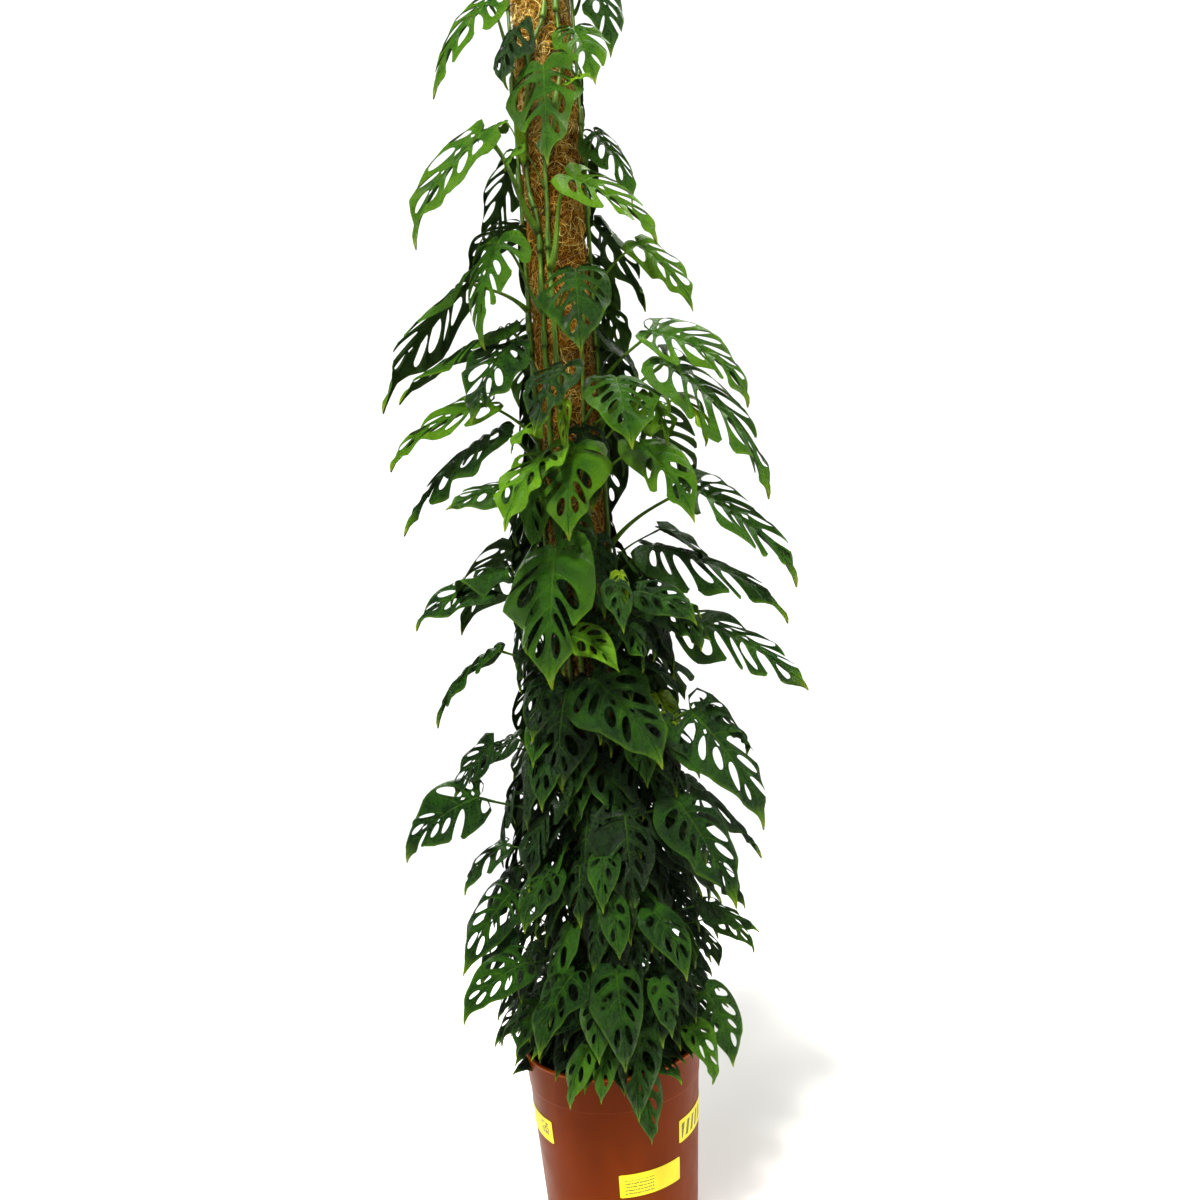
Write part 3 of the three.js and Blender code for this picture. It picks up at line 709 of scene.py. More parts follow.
def stem_green():
    """Reads the tint as: share of bark, place along the stem, closeness to a node."""
    s = Shader("stem_green")
    bark, _, joint, _ = s.tint()
    grain = s.noise(1.0, 5, s.place((260, 260, 30)))
    green = s.ramp(grain, [(.25, (.034, .095, .009)), (.5, (.100, .205, .016)), (.75, (.26, .38, .045))])
    brown = s.ramp(grain, [(.2, (.035, .022, .012)), (.55, (.11, .075, .035)), (.85, (.22, .17, .09))])
    color = s.blend(bark, green, brown)
    color = s.blend(s.times(joint, .6), color, (.07, .055, .025))
    rough = s.plus(s.times(bark, .35), .42)
    return s.finish(base_color=color, roughness=rough, normal=s.bump(grain, .0008, .8))


def grained(name, stretch, stops, roughness, depth, strength):
    """A material whose color and relief both follow one stretched grain."""
    s = Shader(name)
    grain = s.noise(1.0, 4, s.place(stretch))
    relief = s.bump(grain, depth, strength)
    return s.finish(base_color=s.ramp(grain, stops), roughness=roughness, normal=relief)


def root_brown():
    browns = [(.2, (.03, .016, .008)), (.55, (.10, .055, .025)), (.85, (.24, .15, .07))]
    return grained("root_brown", (300, 300, 60), browns, .85, .0006, .9)


# Heights between which the coir changes from rusty to golden, and from damp to dry.
RUSTY_BELOW = 1.5
GOLDEN_ABOVE = 2.1
DAMP_BELOW = .8
DRY_ABOVE = 1.4


def coir_age(s, golden, rusty):
    """Golden at the top of the pole and rusty below, in patches. Returns the color, patches and height."""
    height = s.split(s.place())[2]
    patch = s.noise(9, 4)
    age = s.span(height, RUSTY_BELOW, GOLDEN_ABOVE, 1, 0)
    age = s.plus(age, s.span(patch, .35, .65, -.35, .35), clamp=True)
    return s.blend(age, golden, rusty), patch, height


def coir_mat():
    """Crossing strands with painted shade in the gaps between them, and darker and damp patches."""
    s = Shader("coir_mat")
    strand = s.noise(1.0, 6, s.place((420, 420, 420)), .75, 1.8)
    weft = s.noise(1.0, 5, s.place((900, 900, 160), (.5, .35, .2)), .7, 2.5)
    relief = s.plus(s.times(strand, .6), s.times(weft, .6))
    # The dark low ends of both ramps are painted shade in the gaps between strands; the higher stops are the
    # strands' own golden or rusty colours.
    golden = s.ramp(relief, [(.46, (.014, .005, .001)), (.56, (.14, .060, .006)), (.66, (.50, .27, .038)),
                             (.80, (.95, .72, .24))])
    rusty = s.ramp(relief, [(.46, (.006, .002, .001)), (.56, (.085, .027, .002)), (.66, (.38, .16, .013)),
                            (.80, (.88, .52, .09))])
    color, patch, height = coir_age(s, golden, rusty)
    damp = s.span(height, DAMP_BELOW, DRY_ABOVE, .55, 0)
    damp = s.plus(damp, s.span(patch, .55, .75, 0, .2), clamp=True)
    color = s.blend(damp, color, (.020, .008, .003))
    return s.finish(base_color=color, roughness=.95, normal=s.bump(relief, .004, 1), specular_ior_level=.05)


def coir_fibre():
    """Reads the tint as: how light the fibre is."""
    s = Shader("coir_fibre")
    light, _, _, _ = s.tint()
    golden = s.ramp(light, [(0, (.14, .055, .004)), (.45, (.78, .45, .050)), (1, (1, .90, .44))])
    rusty = s.ramp(light, [(0, (.05, .014, .001)), (.45, (.64, .265, .013)), (1, (1, .84, .26))])
    grain = s.noise(300, 2)
    color, _, height = coir_age(s, golden, rusty)
    color = s.blend(s.span(height, DAMP_BELOW, DRY_ABOVE, .45, 0), color, (.03, .012, .004))
    color = s.blend(s.span(grain, .4, .7, 0, .3), color, (.1, .04, .012))
    return s.finish(base_color=color, roughness=.8, normal=s.bump(grain, .0003, .6), specular_ior_level=.05)


def twine_thread():
    straws = [(.3, (.34, .22, .10)), (.7, (.74, .60, .38))]
    return grained("twine_thread", (500, 500, 500), straws, .8, .0004, .8)


def terracotta_plastic():
    s = Shader("terracotta_plastic")
    height = s.split(s.place())[2]
    cloud = s.noise(5, 3)
    color = s.ramp(cloud, [(.3, (.170, .029, .0015)), (.7, (.215, .041, .0022))])
    scuff = s.noise(1.0, 6, s.place((70, 70, 900), (.03, .02, 0)), .7)
    mark = s.times(s.span(scuff, .58, .72), s.span(s.noise(14, 2), .45, .7))
    color = s.blend(s.times(mark, .25), color, (.42, .16, .05))
    dust = s.times(s.span(height, .0, .05, .35, 0), s.noise(60, 5))
    color = s.blend(dust, color, (.25, .17, .11))
    # Painted highlight: the rim's rolled lip is painted a lighter orange, as if lit along its edge.
    rim = s.span(height, POT_HEIGHT - 9 * MM, POT_HEIGHT - 1 * MM, 0, .6)
    color = s.blend(rim, color, (.46, .105, .006))
    rough = s.plus(s.span(s.noise(35, 4), .3, .7, .30, .40), s.times(mark, .2))
    orange_peel = s.noise(650, 2)
    relief = s.plus(s.times(orange_peel, .4), s.noise(40, 2))
    return s.finish(base_color=color, roughness=rough, normal=s.bump(relief, .0003, .5),
                    specular_ior_level=.08)


def potting_mix():
    s = Shader("potting_mix")
    clump = s.noise(70, 8, None, .7)
    fleck = s.node("ShaderNodeTexVoronoi", {"Scale": 320.0, "Randomness": 1.0}).outputs["Color"]
    pick = s.split(fleck)[0]
    color = s.ramp(clump, [(.25, (.008, .004, .002)), (.55, (.035, .018, .009)), (.8, (.10, .055, .026))])
    color = s.blend(s.span(pick, .90, .93, 0, .55), color, (.32, .18, .08))
    relief = s.plus(clump, s.times(pick, .3))
    return s.finish(base_color=color, roughness=.95, normal=s.bump(relief, .003, 1), specular_ior_level=.2)


def bark_chip():
    """Reads the tint as: how light the chip is."""
    s = Shader("bark_chip")
    light, _, _, _ = s.tint()
    grain = s.noise(1.0, 6, s.place((240, 240, 700), (.4, .2, 0)), .7)
    color = s.ramp(s.plus(s.times(light, .6), s.times(grain, .4)),
                   [(.2, (.012, .006, .003)), (.5, (.075, .035, .016)), (.85, (.27, .15, .07))])
    return s.finish(base_color=color, roughness=.9, normal=s.bump(grain, .0012, 1))


def core_plastic():
    s = Shader("core_plastic")
    grain = s.noise(240, 4)
    color = s.ramp(s.noise(18, 4), [(.3, (.13, .12, .105)), (.7, (.20, .19, .17))])
    rough = s.span(grain, .3, .7, .42, .6)
    return s.finish(base_color=color, roughness=rough, normal=s.bump(grain, .0003, .6))


def label_paper():
    """The uv is the place on the label, from 0 to 1. The tint's first number picks its printed marks:
    an abstract patch on the left label, ruled lines on the front one and slanted bars on the right one."""
    s = Shader("label_paper")
    kind, _, _, _ = s.tint()
    u, v = s.uv()
    fibre = s.noise(900, 3)
    yellow = s.ramp(s.noise(30, 3), [(.3, (.80, .66, .008)), (.7, (.88, .76, .012))])

    def inside(value, low, high):
        return s.times(s.math("GREATER_THAN", value, low), s.math("LESS_THAN", value, high))

    def panel(left, right, bottom, top):
        return s.times(inside(u, left, right), inside(v, bottom, top))

    def steps(value, count):
        return s.math("FLOOR", s.times(value, count))

    def pair(first, second):
        return s.node("ShaderNodeCombineXYZ", {0: first, 1: second}).outputs[0]

    line = s.math("LESS_THAN", s.math("FRACT", s.times(v, 7.0)), .30)
    dash = s.math("GREATER_THAN", s.noise(1.0, 0, pair(s.times(u, 60.0), steps(v, 7.0))), .42)
    rules = s.times(s.times(line, dash), panel(.08, .52, .12, .74))
    random = s.node("ShaderNodeTexWhiteNoise", {"Vector": pair(steps(u, 54.0), steps(v, 19.0))}).outputs[0]
    patch = s.times(s.math("GREATER_THAN", random, .5), panel(.72, .90, .30, .80))
    slant = s.plus(s.times(u, 7.0), s.times(v, -.6))
    bars = s.times(s.math("LESS_THAN", s.math("FRACT", slant), .5), panel(.06, .80, .16, .80))
    ink = s.times(patch, s.math("LESS_THAN", kind, .25))
    ink = s.math("MAXIMUM", ink, s.times(rules, inside(kind, .25, .75)))
    ink = s.math("MAXIMUM", ink, s.times(bars, s.math("GREATER_THAN", kind, .75)))
    color = s.blend(s.times(ink, .85), yellow, (.05, .055, .03))
    return s.finish(base_color=color, roughness=.48, normal=s.bump(fibre, .0001, .5))


def pale_floor():
    """The floor fades away with the distance from the pot, so that no horizon shows."""
    s = Shader("pale_floor")
    cloud = s.noise(2, 3)
    color = s.ramp(cloud, [(.3, (.86, .86, .855)), (.7, (.88, .88, .875))])
    material = s.finish(base_color=color, roughness=.7)
    reach = s.node("ShaderNodeVectorMath", {0: s.place()}, operation="LENGTH").outputs["Value"]
    clear = s.node("ShaderNodeBsdfTransparent").outputs[0]
    fade = s.node("ShaderNodeMixShader", {0: s.span(reach, .35, 2.4), 1: s.surface.outputs[0], 2: clear})
    s.tree.links.new(fade.outputs[0], s.tree.nodes["Material Output"].inputs[0])
    return material


# ---- camera, light and floor

def add_light(name, kind, energy, place, aim_height, color, **settings):
    """A light that points at the pole's axis at a height."""
    data = bpy.data.lights.new(name, kind)
    data.energy = energy
    data.color = color
    for key, value in settings.items():
        setattr(data, key, value)
    lamp = bpy.data.objects.new(name, data)
    lamp.location = place
    aim = np.array([0, 0, aim_height]) - place
    yaw = math.atan2(aim[1], aim[0])
    pitch = math.atan2(aim[2], math.hypot(aim[0], aim[1]))
    lamp.rotation_euler = (math.pi / 2 + pitch, 0, yaw - math.pi / 2)
    bpy.context.scene.collection.objects.link(lamp)


def studio():
    """The camera looks level at the middle of the plant, turned a little about its own axis."""
    lens = bpy.data.cameras.new("camera")
    lens.sensor_width = 36
    lens.lens = 27.7
    lens.clip_start = .05
    camera = bpy.data.objects.new("camera", lens)
    camera.location = (.032, -1.61, 1.074)
    camera.rotation_euler = (math.radians(90), math.radians(4), 0)
    bpy.context.scene.collection.objects.link(camera)
    bpy.context.scene.camera = camera

    bpy.ops.mesh.primitive_circle_add(vertices=96, radius=4, fill_type="NGON")
    floor = bpy.context.object
    floor.name = "floor"
    floor.data.materials.append(pale_floor())

    world = bpy.data.worlds.new("studio")
    bpy.context.scene.world = world
    world.use_nodes = True
    nodes, links = world.node_tree.nodes, world.node_tree.links
    ambient = nodes["Background"]
    ambient.inputs["Color"].default_value = (1, 1, .96, 1)
    ambient.inputs["Strength"].default_value = .085
    seen = nodes.new("ShaderNodeBackground")
    seen.inputs["Color"].default_value = (1, 1, 1, 1)
    seen.inputs["Strength"].default_value = .96
    path = nodes.new("ShaderNodeLightPath")
    choice = nodes.new("ShaderNodeMixShader")
    sources = (path.outputs["Is Camera Ray"], ambient.outputs[0], seen.outputs[0])
    for source, socket in zip(sources, choice.inputs):
        links.new(source, socket)
    links.new(choice.outputs[0], nodes["World Output"].inputs[0])

    sun_angle, soft_sun_angle = math.radians(8), math.radians(25)
    add_light("sky", "SUN", 3.1, (-.8, -1.9, 4.4), 0, (1, .985, .92), angle=sun_angle)
    add_light("back_sky", "SUN", 1.4, (1.6, 2.4, 3.4), 0, (1, .99, .95), angle=soft_sun_angle)
    for name, energy, place, aim_height, color, width, height in (
            ("top_box", 50, (-.5, -1.5, 3.3), 1.7, (1, 1, .97), 1.2, 1.2),
            ("left_box", 20, (-2.2, -1.6, 1.4), 1.2, (1, 1, .98), 1.0, 2.2),
            ("right_box", 25, (2.3, -1.0, 1.3), 1.2, (1, .98, .94), 1.0, 2.2),
            ("back_box", 34, (-.8, 2.6, 1.6), 1.2, (1, 1, .97), 1.6, 1.6)):
        add_light(name, "AREA", energy, place, aim_height, color,
                  shape="RECTANGLE", size=width, size_y=height)

    view = bpy.context.scene.view_settings
    view.view_transform = "Standard"
    view.exposure = .25
    view.gamma = .86


# ---- pot, soil and labels

CHIP_COUNT = 620
LABEL_CORNER = 2 * MM


def pot_radius(height):
    """The outer radius of the tapered wall at a height, without the collar's step."""
    top = RIM_RADIUS - LIP_WIDTH - COLLAR_STEP
    return mix(BASE_RADIUS, top, height / POT_HEIGHT)


def rounded(profile, steps=4):
    """A closed outline through (radius, height) corners, each of them rounded off by a size of its own."""
    result = []
    corners = np.array([corner for corner, _ in profile])
    for i, (corner, size) in enumerate(profile):
        if size == 0:
            result.append(corner)
            continue
        before = corners[i - 1] - corner
        after = corners[(i + 1) % len(corners)] - corner
        reach = min(size, .45 * np.linalg.norm(before), .45 * np.linalg.norm(after))
        a = corner + unit(before) * reach
        b = corner + unit(after) * reach
        for t in np.linspace(0, 1, steps + 1):
            result.append(a * (1 - t) ** 2 + 2 * corners[i] * t * (1 - t) + b * t ** 2)
    return result


def lathe(name, profile, segments, sway=None):
    """A closed solid of revolution. A profile that starts on the axis is closed there at both ends."""
    mesh = bmesh.new()
    rings = []
    angles = 2 * np.pi * np.arange(segments) / segments
    for radius, height in profile:
        if radius < 1e-7:
            rings.append([mesh.verts.new((0, 0, height))])
            continue
        factor = sway(angles, radius, height) if sway else np.ones(segments)
        rings.append([mesh.verts.new((radius * f * math.cos(t), radius * f * math.sin(t), height))
                      for t, f in zip(angles, factor)])
    following = rings[1:] + rings[:1] if len(rings[0]) > 1 else rings[1:]
    for low, high in zip(rings, following):
        for i in range(segments):
            j = (i + 1) % segments
            corners = [low[i % len(low)], low[j % len(low)], high[j % len(high)], high[i % len(high)]]
            unique = list(dict.fromkeys(corners))
            if len(unique) > 2:
                mesh.faces.new(unique)
    data = bpy.data.meshes.new(name)
    mesh.normal_update()
    mesh.to_mesh(data)
    mesh.free()
    return data


def apply_modifiers(piece):
    depsgraph = bpy.context.evaluated_depsgraph_get()
    mesh = bpy.data.meshes.new_from_object(piece.evaluated_get(depsgraph))
    piece.modifiers.clear()
    piece.data = mesh


def cut(piece, cutters):
    """Takes every cutter out of the piece and removes the cutters."""
    for cutter in cutters:
        change = piece.modifiers.new("cut", "BOOLEAN")
        change.operation = "DIFFERENCE"
        change.solver = "EXACT"
        change.object = cutter
    apply_modifiers(piece)
    for cutter in cutters:
        bpy.data.objects.remove(cutter)


def shade_by_angle(mesh, degrees):
    """Smooth faces, with a sharp edge wherever two of them meet at more than an angle."""
    work = bmesh.new()
    work.from_mesh(mesh)
    limit = math.radians(degrees)
    for face in work.faces:
        face.smooth = True
    for edge in work.edges:
        edge.smooth = not (len(edge.link_faces) == 2 and edge.calc_face_angle() > limit)
    work.to_mesh(mesh)
    work.free()


def make_pot():
    lip_foot = POT_HEIGHT - LIP_DEPTH
    collar_foot = POT_HEIGHT - COLLAR_DEPTH
    floor_top = FOOT_HEIGHT + FLOOR_THICKNESS
    foot_inside = BASE_RADIUS - FOOT_WIDTH
    seam_from = 100 * MM
    profile = [
        ((0, 0), 0),
        ((PAD_RADIUS, 0), 1 * MM),
        ((PAD_RADIUS + FOOT_HEIGHT / 2, FOOT_HEIGHT), 1 * MM),
        ((foot_inside - FOOT_HEIGHT / 2, FOOT_HEIGHT), 1 * MM),
        ((foot_inside, 0), 1 * MM),
        ((BASE_RADIUS - POT_WALL, 0), 1.5 * MM),
        ((pot_radius(POT_WALL), POT_WALL), 1.5 * MM),
        ((pot_radius(collar_foot), collar_foot), .8 * MM),
        ((pot_radius(collar_foot) + COLLAR_STEP, collar_foot + COLLAR_STEP), .8 * MM),
        ((pot_radius(lip_foot) + COLLAR_STEP, lip_foot), 1.2 * MM),
        ((RIM_RADIUS, lip_foot + LIP_WIDTH), 1.5 * MM),
        ((RIM_RADIUS, POT_HEIGHT - LIP_WIDTH / 2), 1.5 * MM),
        ((RIM_RADIUS - LIP_WIDTH / 2, POT_HEIGHT), 1.5 * MM),
        ((pot_radius(POT_HEIGHT) - POT_WALL, POT_HEIGHT), 1.5 * MM),
        ((pot_radius(floor_top) - POT_WALL, floor_top), 3 * MM),
        ((0, floor_top), 0),
    ]

    def moulding(angles, radius, height):
        """A faint mould seam on the wall at the front and back, and a pot that isn't perfectly round."""
        seam = .25 * MM / radius * np.exp(-(np.cos(angles) / .006) ** 2) * (radius > seam_from)
        return 1 + seam + .0008 * np.sin(2 * angles + 1) * (height / POT_HEIGHT)

    mesh = lathe("nursery_pot", rounded(profile), 192, moulding)
    pot = piece_of(mesh, "nursery_pot", terracotta_plastic(), ["pot"])
    cutters = []
    for i in range(DRAIN_COUNT):
        place = compass(360 * (i + .5) / DRAIN_COUNT) * (PAD_RADIUS + foot_inside) / 2
        bpy.ops.mesh.primitive_cylinder_add(vertices=32, radius=DRAIN_RADIUS, depth=.04, location=place)
        cutters.append(bpy.context.object)
    for i in range(OUTLET_COUNT):
        turn = 2 * math.pi * (i + .5) / OUTLET_COUNT
        place = (BASE_RADIUS * math.cos(turn), BASE_RADIUS * math.sin(turn), 0)
        bpy.ops.mesh.primitive_cube_add(size=1, location=place, rotation=(0, 0, turn))
        bpy.context.object.scale = (3 * FOOT_WIDTH, OUTLET_WIDTH, 2 * FOOT_HEIGHT - 2 * MM)
        cutters.append(bpy.context.object)
    bpy.context.view_layer.update()
    cut(pot, cutters)
    shade_by_angle(pot.data, 35)


def bumps(points, scale, seed):
    """A smooth random value from -1 to 1 at each point, from sums of waves."""
    rng = np.random.default_rng(seed)
    total = np.zeros(len(points))
    for _ in range(9):
        way = rng.standard_normal(3)
        total += np.sin(points @ way * scale * rng.uniform(.6, 1.7) + rng.uniform(0, 6.28))
    return total / 3.5


def make_soil():
    """The soil around the pole: flat and plain below, lumpy on top, with chips of bark lying on it."""
    wall = pot_radius(SOIL_TOP) - POT_WALL - GAP
    bottom = FOOT_HEIGHT + FLOOR_THICKNESS + GAP
    inner = POLE_RADIUS + GAP
    core = CORE_RADIUS + GAP
    step = POLE_BOTTOM - GAP
    top_rings = [(mix(wall, inner, t), SOIL_TOP) for t in np.linspace(0, 1, 34)]
    side_rings = [(pot_radius(z) - POT_WALL - GAP, z) for z in np.linspace(bottom, SOIL_TOP, 6)[:-1]]
    profile = [(core, bottom), *side_rings, *top_rings, (inner, step), (core, step)]
    mesh = lathe("soil", profile, 180)
    points = np.empty(3 * len(mesh.vertices))
    mesh.vertices.foreach_get("co", points)
    points = points.reshape(-1, 3)
    radius = np.hypot(points[:, 0], points[:, 1])
    on_top = points[:, 2] > SOIL_TOP - 1e-5
    lump = (3.0 * bumps(points, 60, 1) + 1.3 * bumps(points, 190, 2) + .8 * bumps(points, 520, 3)) * MM
    fade = smooth((wall - radius) / (6 * MM)) * .85 + .15
    points[:, 2] += np.where(on_top, lump * fade - 1 * MM, 0)
    mesh.vertices.foreach_set("co", points.ravel())
    mesh.polygons.foreach_set("use_smooth", np.ones(len(mesh.polygons), bool))
    piece_of(mesh, "potting_mix", potting_mix(), ["potting_soil"])

    rng = np.random.default_rng(11)
    chips = Shells()
    corners = np.array([(x, y, z) for x in (-1, 1) for y in (-1, 1) for z in (-1, 1)], float)
    box = np.array([[0, 1, 3, 2], [4, 6, 7, 5], [0, 4, 5, 1], [2, 3, 7, 6], [0, 2, 6, 4], [1, 5, 7, 3]])
    for _ in range(CHIP_COUNT):
        place = around(rng.uniform(0, 360), rng.uniform(inner + 4 * MM, wall - 5 * MM),
                       SOIL_TOP + rng.uniform(-1, 2) * MM)
        size = rng.uniform(1.6, 5.5) * MM * np.array([1, rng.uniform(.35, .8), rng.uniform(.15, .5)])
        shape = corners * size * rng.uniform(.55, 1.1, (8, 3))
        axes, _ = np.linalg.qr(rng.standard_normal((3, 3)) * [1, 1, .35])
        if np.linalg.det(axes) < 0:
            axes[:, 0] *= -1
        chips.add(place + shape @ axes.T, [box], tint=(rng.uniform(0, 1), 0, 0, 0))
    soften(chips.build("bark_chips", bark_chip(), "soil"), 1)


def soften(piece, levels):
    """Applies a subdivision surface to the piece."""
    change = piece.modifiers.new("soften", "SUBSURF")
    change.levels = change.render_levels = levels
    apply_modifiers(piece)


def make_labels():
    paper = label_paper()
    u, v = np.meshgrid(np.linspace(0, 1, 33), np.linspace(0, 1, 9), indexing="ij")
    past_corner = np.maximum(np.abs(u - .5) * LABEL_WIDTH - LABEL_WIDTH / 2 + LABEL_CORNER, 0) / LABEL_CORNER
    uv = np.stack([u.ravel(), v.ravel()], -1)
    index = np.arange(u.size).reshape(u.shape)
    quads = quads_between(index[:-1], index[1:])
    for number, (name, bearing, drop) in enumerate(LABELS):
        middle = POT_HEIGHT - COLLAR_DEPTH - drop * MM
        half_turn = math.degrees(LABEL_WIDTH / pot_radius(middle) / 2)
        t = bearing + (2 * u - 1) * half_turn
        z = middle + (v - .5) * LABEL_HEIGHT * (1 - .06 * past_corner ** 2)
        lift = LABEL_THICKNESS + .05 * MM * np.sin(9 * u + number) * np.sin(7 * v)
        front, back = (around(t, pot_radius(z) + GAP + depth, z).reshape(-1, 3) for depth in (lift, .02 * MM))
        sheet = Shells().add_sheet(front, back, quads, uv, (number / 2, 0, 0, 0))
        sheet.build(name.replace("label", "sticker"), paper, "label_paper", [name])


# ---- pole

def coir_relief(bearing, height):
    """How far the coir's surface stands out from its CAD radius: coarse, middling and fine lumps."""
    point = around(bearing, POLE_RADIUS, height).reshape(-1, 3)
    lump = 1.4 * bumps(point, 45, 4) + 1.0 * bumps(point, 130, 5) + .6 * bumps(point, 420, 6)
    return (lump.reshape(height.shape) - 1.2) * MM


def make_pole():
    """The coir's outer skin is fine and uneven, and its bore is plain."""
    columns, rows = 132, 560
    bearings = 360 * np.arange(columns) / columns
    t, z = np.meshgrid(bearings, np.linspace(POLE_BOTTOM, POLE_TOP, rows), indexing="ij")
    rounding = 4 * MM
    outside = mix(POLE_RADIUS - rounding, POLE_RADIUS + coir_relief(t, z), smooth((POLE_TOP - z) / rounding))
    ends = np.s_[:, [0, -1]]
    points = np.concatenate([around(t, outside, z).reshape(-1, 3),
                             around(t[ends], CORE_RADIUS + GAP, z[ends]).reshape(-1, 3)])
    skin = np.arange(t.size).reshape(t.shape)
    bore = t.size + np.arange(2 * columns).reshape(columns, 2)
    next_skin, next_bore = np.roll(skin, -1, axis=0), np.roll(bore, -1, axis=0)
    bottom, top = (np.stack([next_skin[:, end], skin[:, end], bore[:, end], next_bore[:, end]], -1)
                   for end in (0, -1))
    faces = [quads_between(skin, next_skin), quads_between(next_bore, bore), bottom, top[:, ::-1]]
    Shells().add(points, faces).build("coir_wrap", coir_mat(), "coir", ["coir_sleeve"])
    make_fibres()
    make_twine()


def make_fibres():
    """Loose fibres: most lie along the coir's surface in every direction, and some stand off it."""
    rng = np.random.default_rng(21)
    material = coir_fibre()
    count, steps, sides = 8400, 6, 3
    share = np.linspace(-.5, .5, steps)
    for number in (1, 2, 3):
        height = rng.uniform(SOIL_TOP - .01, POLE_TOP - .004, (count, 1))
        bearing = rng.uniform(0, 360, (count, 1))
        length = rng.uniform(12, 48, (count, 1)) * MM
        heading = rng.uniform(0, 2 * np.pi, (count, 1))
        angle = heading + rng.normal(0, 1.6, (count, 1)) * share
        run = np.cumsum(np.cos(angle), 1) * length / steps
        climb = np.cumsum(np.sin(angle), 1) * length / steps
        t = bearing + np.degrees(run / POLE_RADIUS)
        z = np.clip(height + climb, SOIL_TOP - .02, POLE_TOP + 1 * MM)
        wild = rng.random((count, 1)) < .22
        loose = np.where(wild, rng.uniform(2, 9, (count, 1)), rng.uniform(.3, 2.6, (count, 1)))
        arch = np.where(wild, rng.uniform(0, 1, (count, 1)), .5)
        off = loose * mix(1 - (2 * share) ** 2, (share + .5) ** 1.5, arch) - .1
        paths = around(t, POLE_RADIUS + coir_relief(t, z) + off * MM, z)
        thick = (.28 + .66 * rng.random((count, 1)) ** 2) * MM * (1 - .5 * np.abs(2 * share) ** 3)
        light = np.repeat(rng.uniform(0, 1, count) ** .9, steps * sides)[:, None]
        fibres = Shells().add_tubes(paths, thick, sides, light * [1, 0, 0, 0])
        fibres.build(f"coir_fibres_{number}", material, "coir")


def make_twine():
    """The thread that ties the coir on, wound both ways so that it crosses itself."""
    shells = Shells()
    pitch = .16
    z = np.arange(SOIL_TOP - .02, POLE_TOP - .006, 5 * MM)
    for way in (1, -1):
        for start in (0, 180):
            t = start + way * 360 * (z - SOIL_TOP) / pitch
            lift = .75 * MM if way > 0 else .45 * MM
            radius = POLE_RADIUS + np.maximum(coir_relief(t, z), -1 * MM) + lift
            shells.add_tubes(around(t, radius, z), .30 * MM, 6)
    shells.build("pole_twine", twine_thread(), "coir")


# ---- vines and roots

HANGING_ROOT_COUNT = 22
ROOT_STEPS = 10
SHEATHS_ABOVE = 1.2
EMPTY_SHEATH_HEIGHT = 1.535


def vine_top(number):
    return VINES[number - 1][0] * MM


def vine_nodes(number, rng):
    """The heights above the soil of a vine's nodes."""
    heights, height = [], rng.uniform(.02, .06)
    while height < vine_top(number) - .03:
        heights.append(height)
        height += rng.uniform(.062, .098)
    return np.array(heights)


def make_vines():
    """The vines with their nodes, leaf scars and sheaths, and the roots that hold them."""
    material = stem_green()
    sides = 12
    root_paths, root_sizes = [], []
    for number in range(1, len(VINES) + 1):
        rng = np.random.default_rng(100 + number)
        top = vine_top(number)
        nodes = vine_nodes(number, rng)
        height = np.linspace(-VINE_ROOT_DEPTH, top, 330)
        path = vine_point(number, height)
        bends = np.where(np.arange(len(nodes)) % 2, 1, -1) * rng.uniform(.4, 1.6, len(nodes))
        kink = np.interp(height, nodes, bends) * 1.1 * MM
        path = path + np.cross(UP, level_unit(path)) * kink[:, None]
        gap = np.abs(height[:, None] - nodes).min(1)
        taper = mix(1, VINE_TIP_RADIUS / VINE_RADIUS, smooth((height / top - .6) / .4))
        swelling = np.exp(-(gap / (5 * MM)) ** 2)
        scar = np.exp(-(gap / (1.2 * MM)) ** 2)
        radius = VINE_RADIUS * taper * (.93 + .22 * swelling - .05 * scar)
        bark = smooth((1.15 - height) / 1.1) * .9
        tint = np.stack([bark, height, scar, 0 * bark], -1)
        shells = Shells().add_tubes(path, radius, sides, np.repeat(tint, sides, axis=0))
        add_sheaths(shells, number, nodes, rng)
        shells.build(f"climbing_stem_{number}", material, "stem", [f"vine_{number}"])
        for node in nodes:
            for _ in range(rng.integers(1, 4)):
                root_paths.append(clinging_root(number, node, rng))
                root_sizes.append(rng.uniform(.55, 1.1) * MM)
    add_roots("clinging_roots", root_paths, root_sizes)
    rng = np.random.default_rng(31)
    hanging = [hanging_root(rng) for _ in range(HANGING_ROOT_COUNT)]
    add_roots("hanging_roots", hanging, rng.uniform(.6, 1.3, len(hanging)) * MM)


def clinging_root(number, node, rng):
    """A short root that grips the coir: out of the vine, around the pole and into the mat."""
    share = np.linspace(0, 1, ROOT_STEPS)
    side = rng.choice([-1, 1])
    bearing = vine_bearing(number, node) + side * rng.uniform(12, 48) * share
    reach = np.hypot(*vine_point(number, node)[:2])
    radius = mix(reach, POLE_RADIUS - 2 * MM, smooth(share * 1.3))
    radius = radius + rng.uniform(.5, 2) * MM * np.sin(share * 6)
    fall = rng.uniform(0, 45) * share ** 1.4 - 2 * np.sin(share * 7)
    return around(bearing, radius, SOIL_TOP + node - fall * MM)


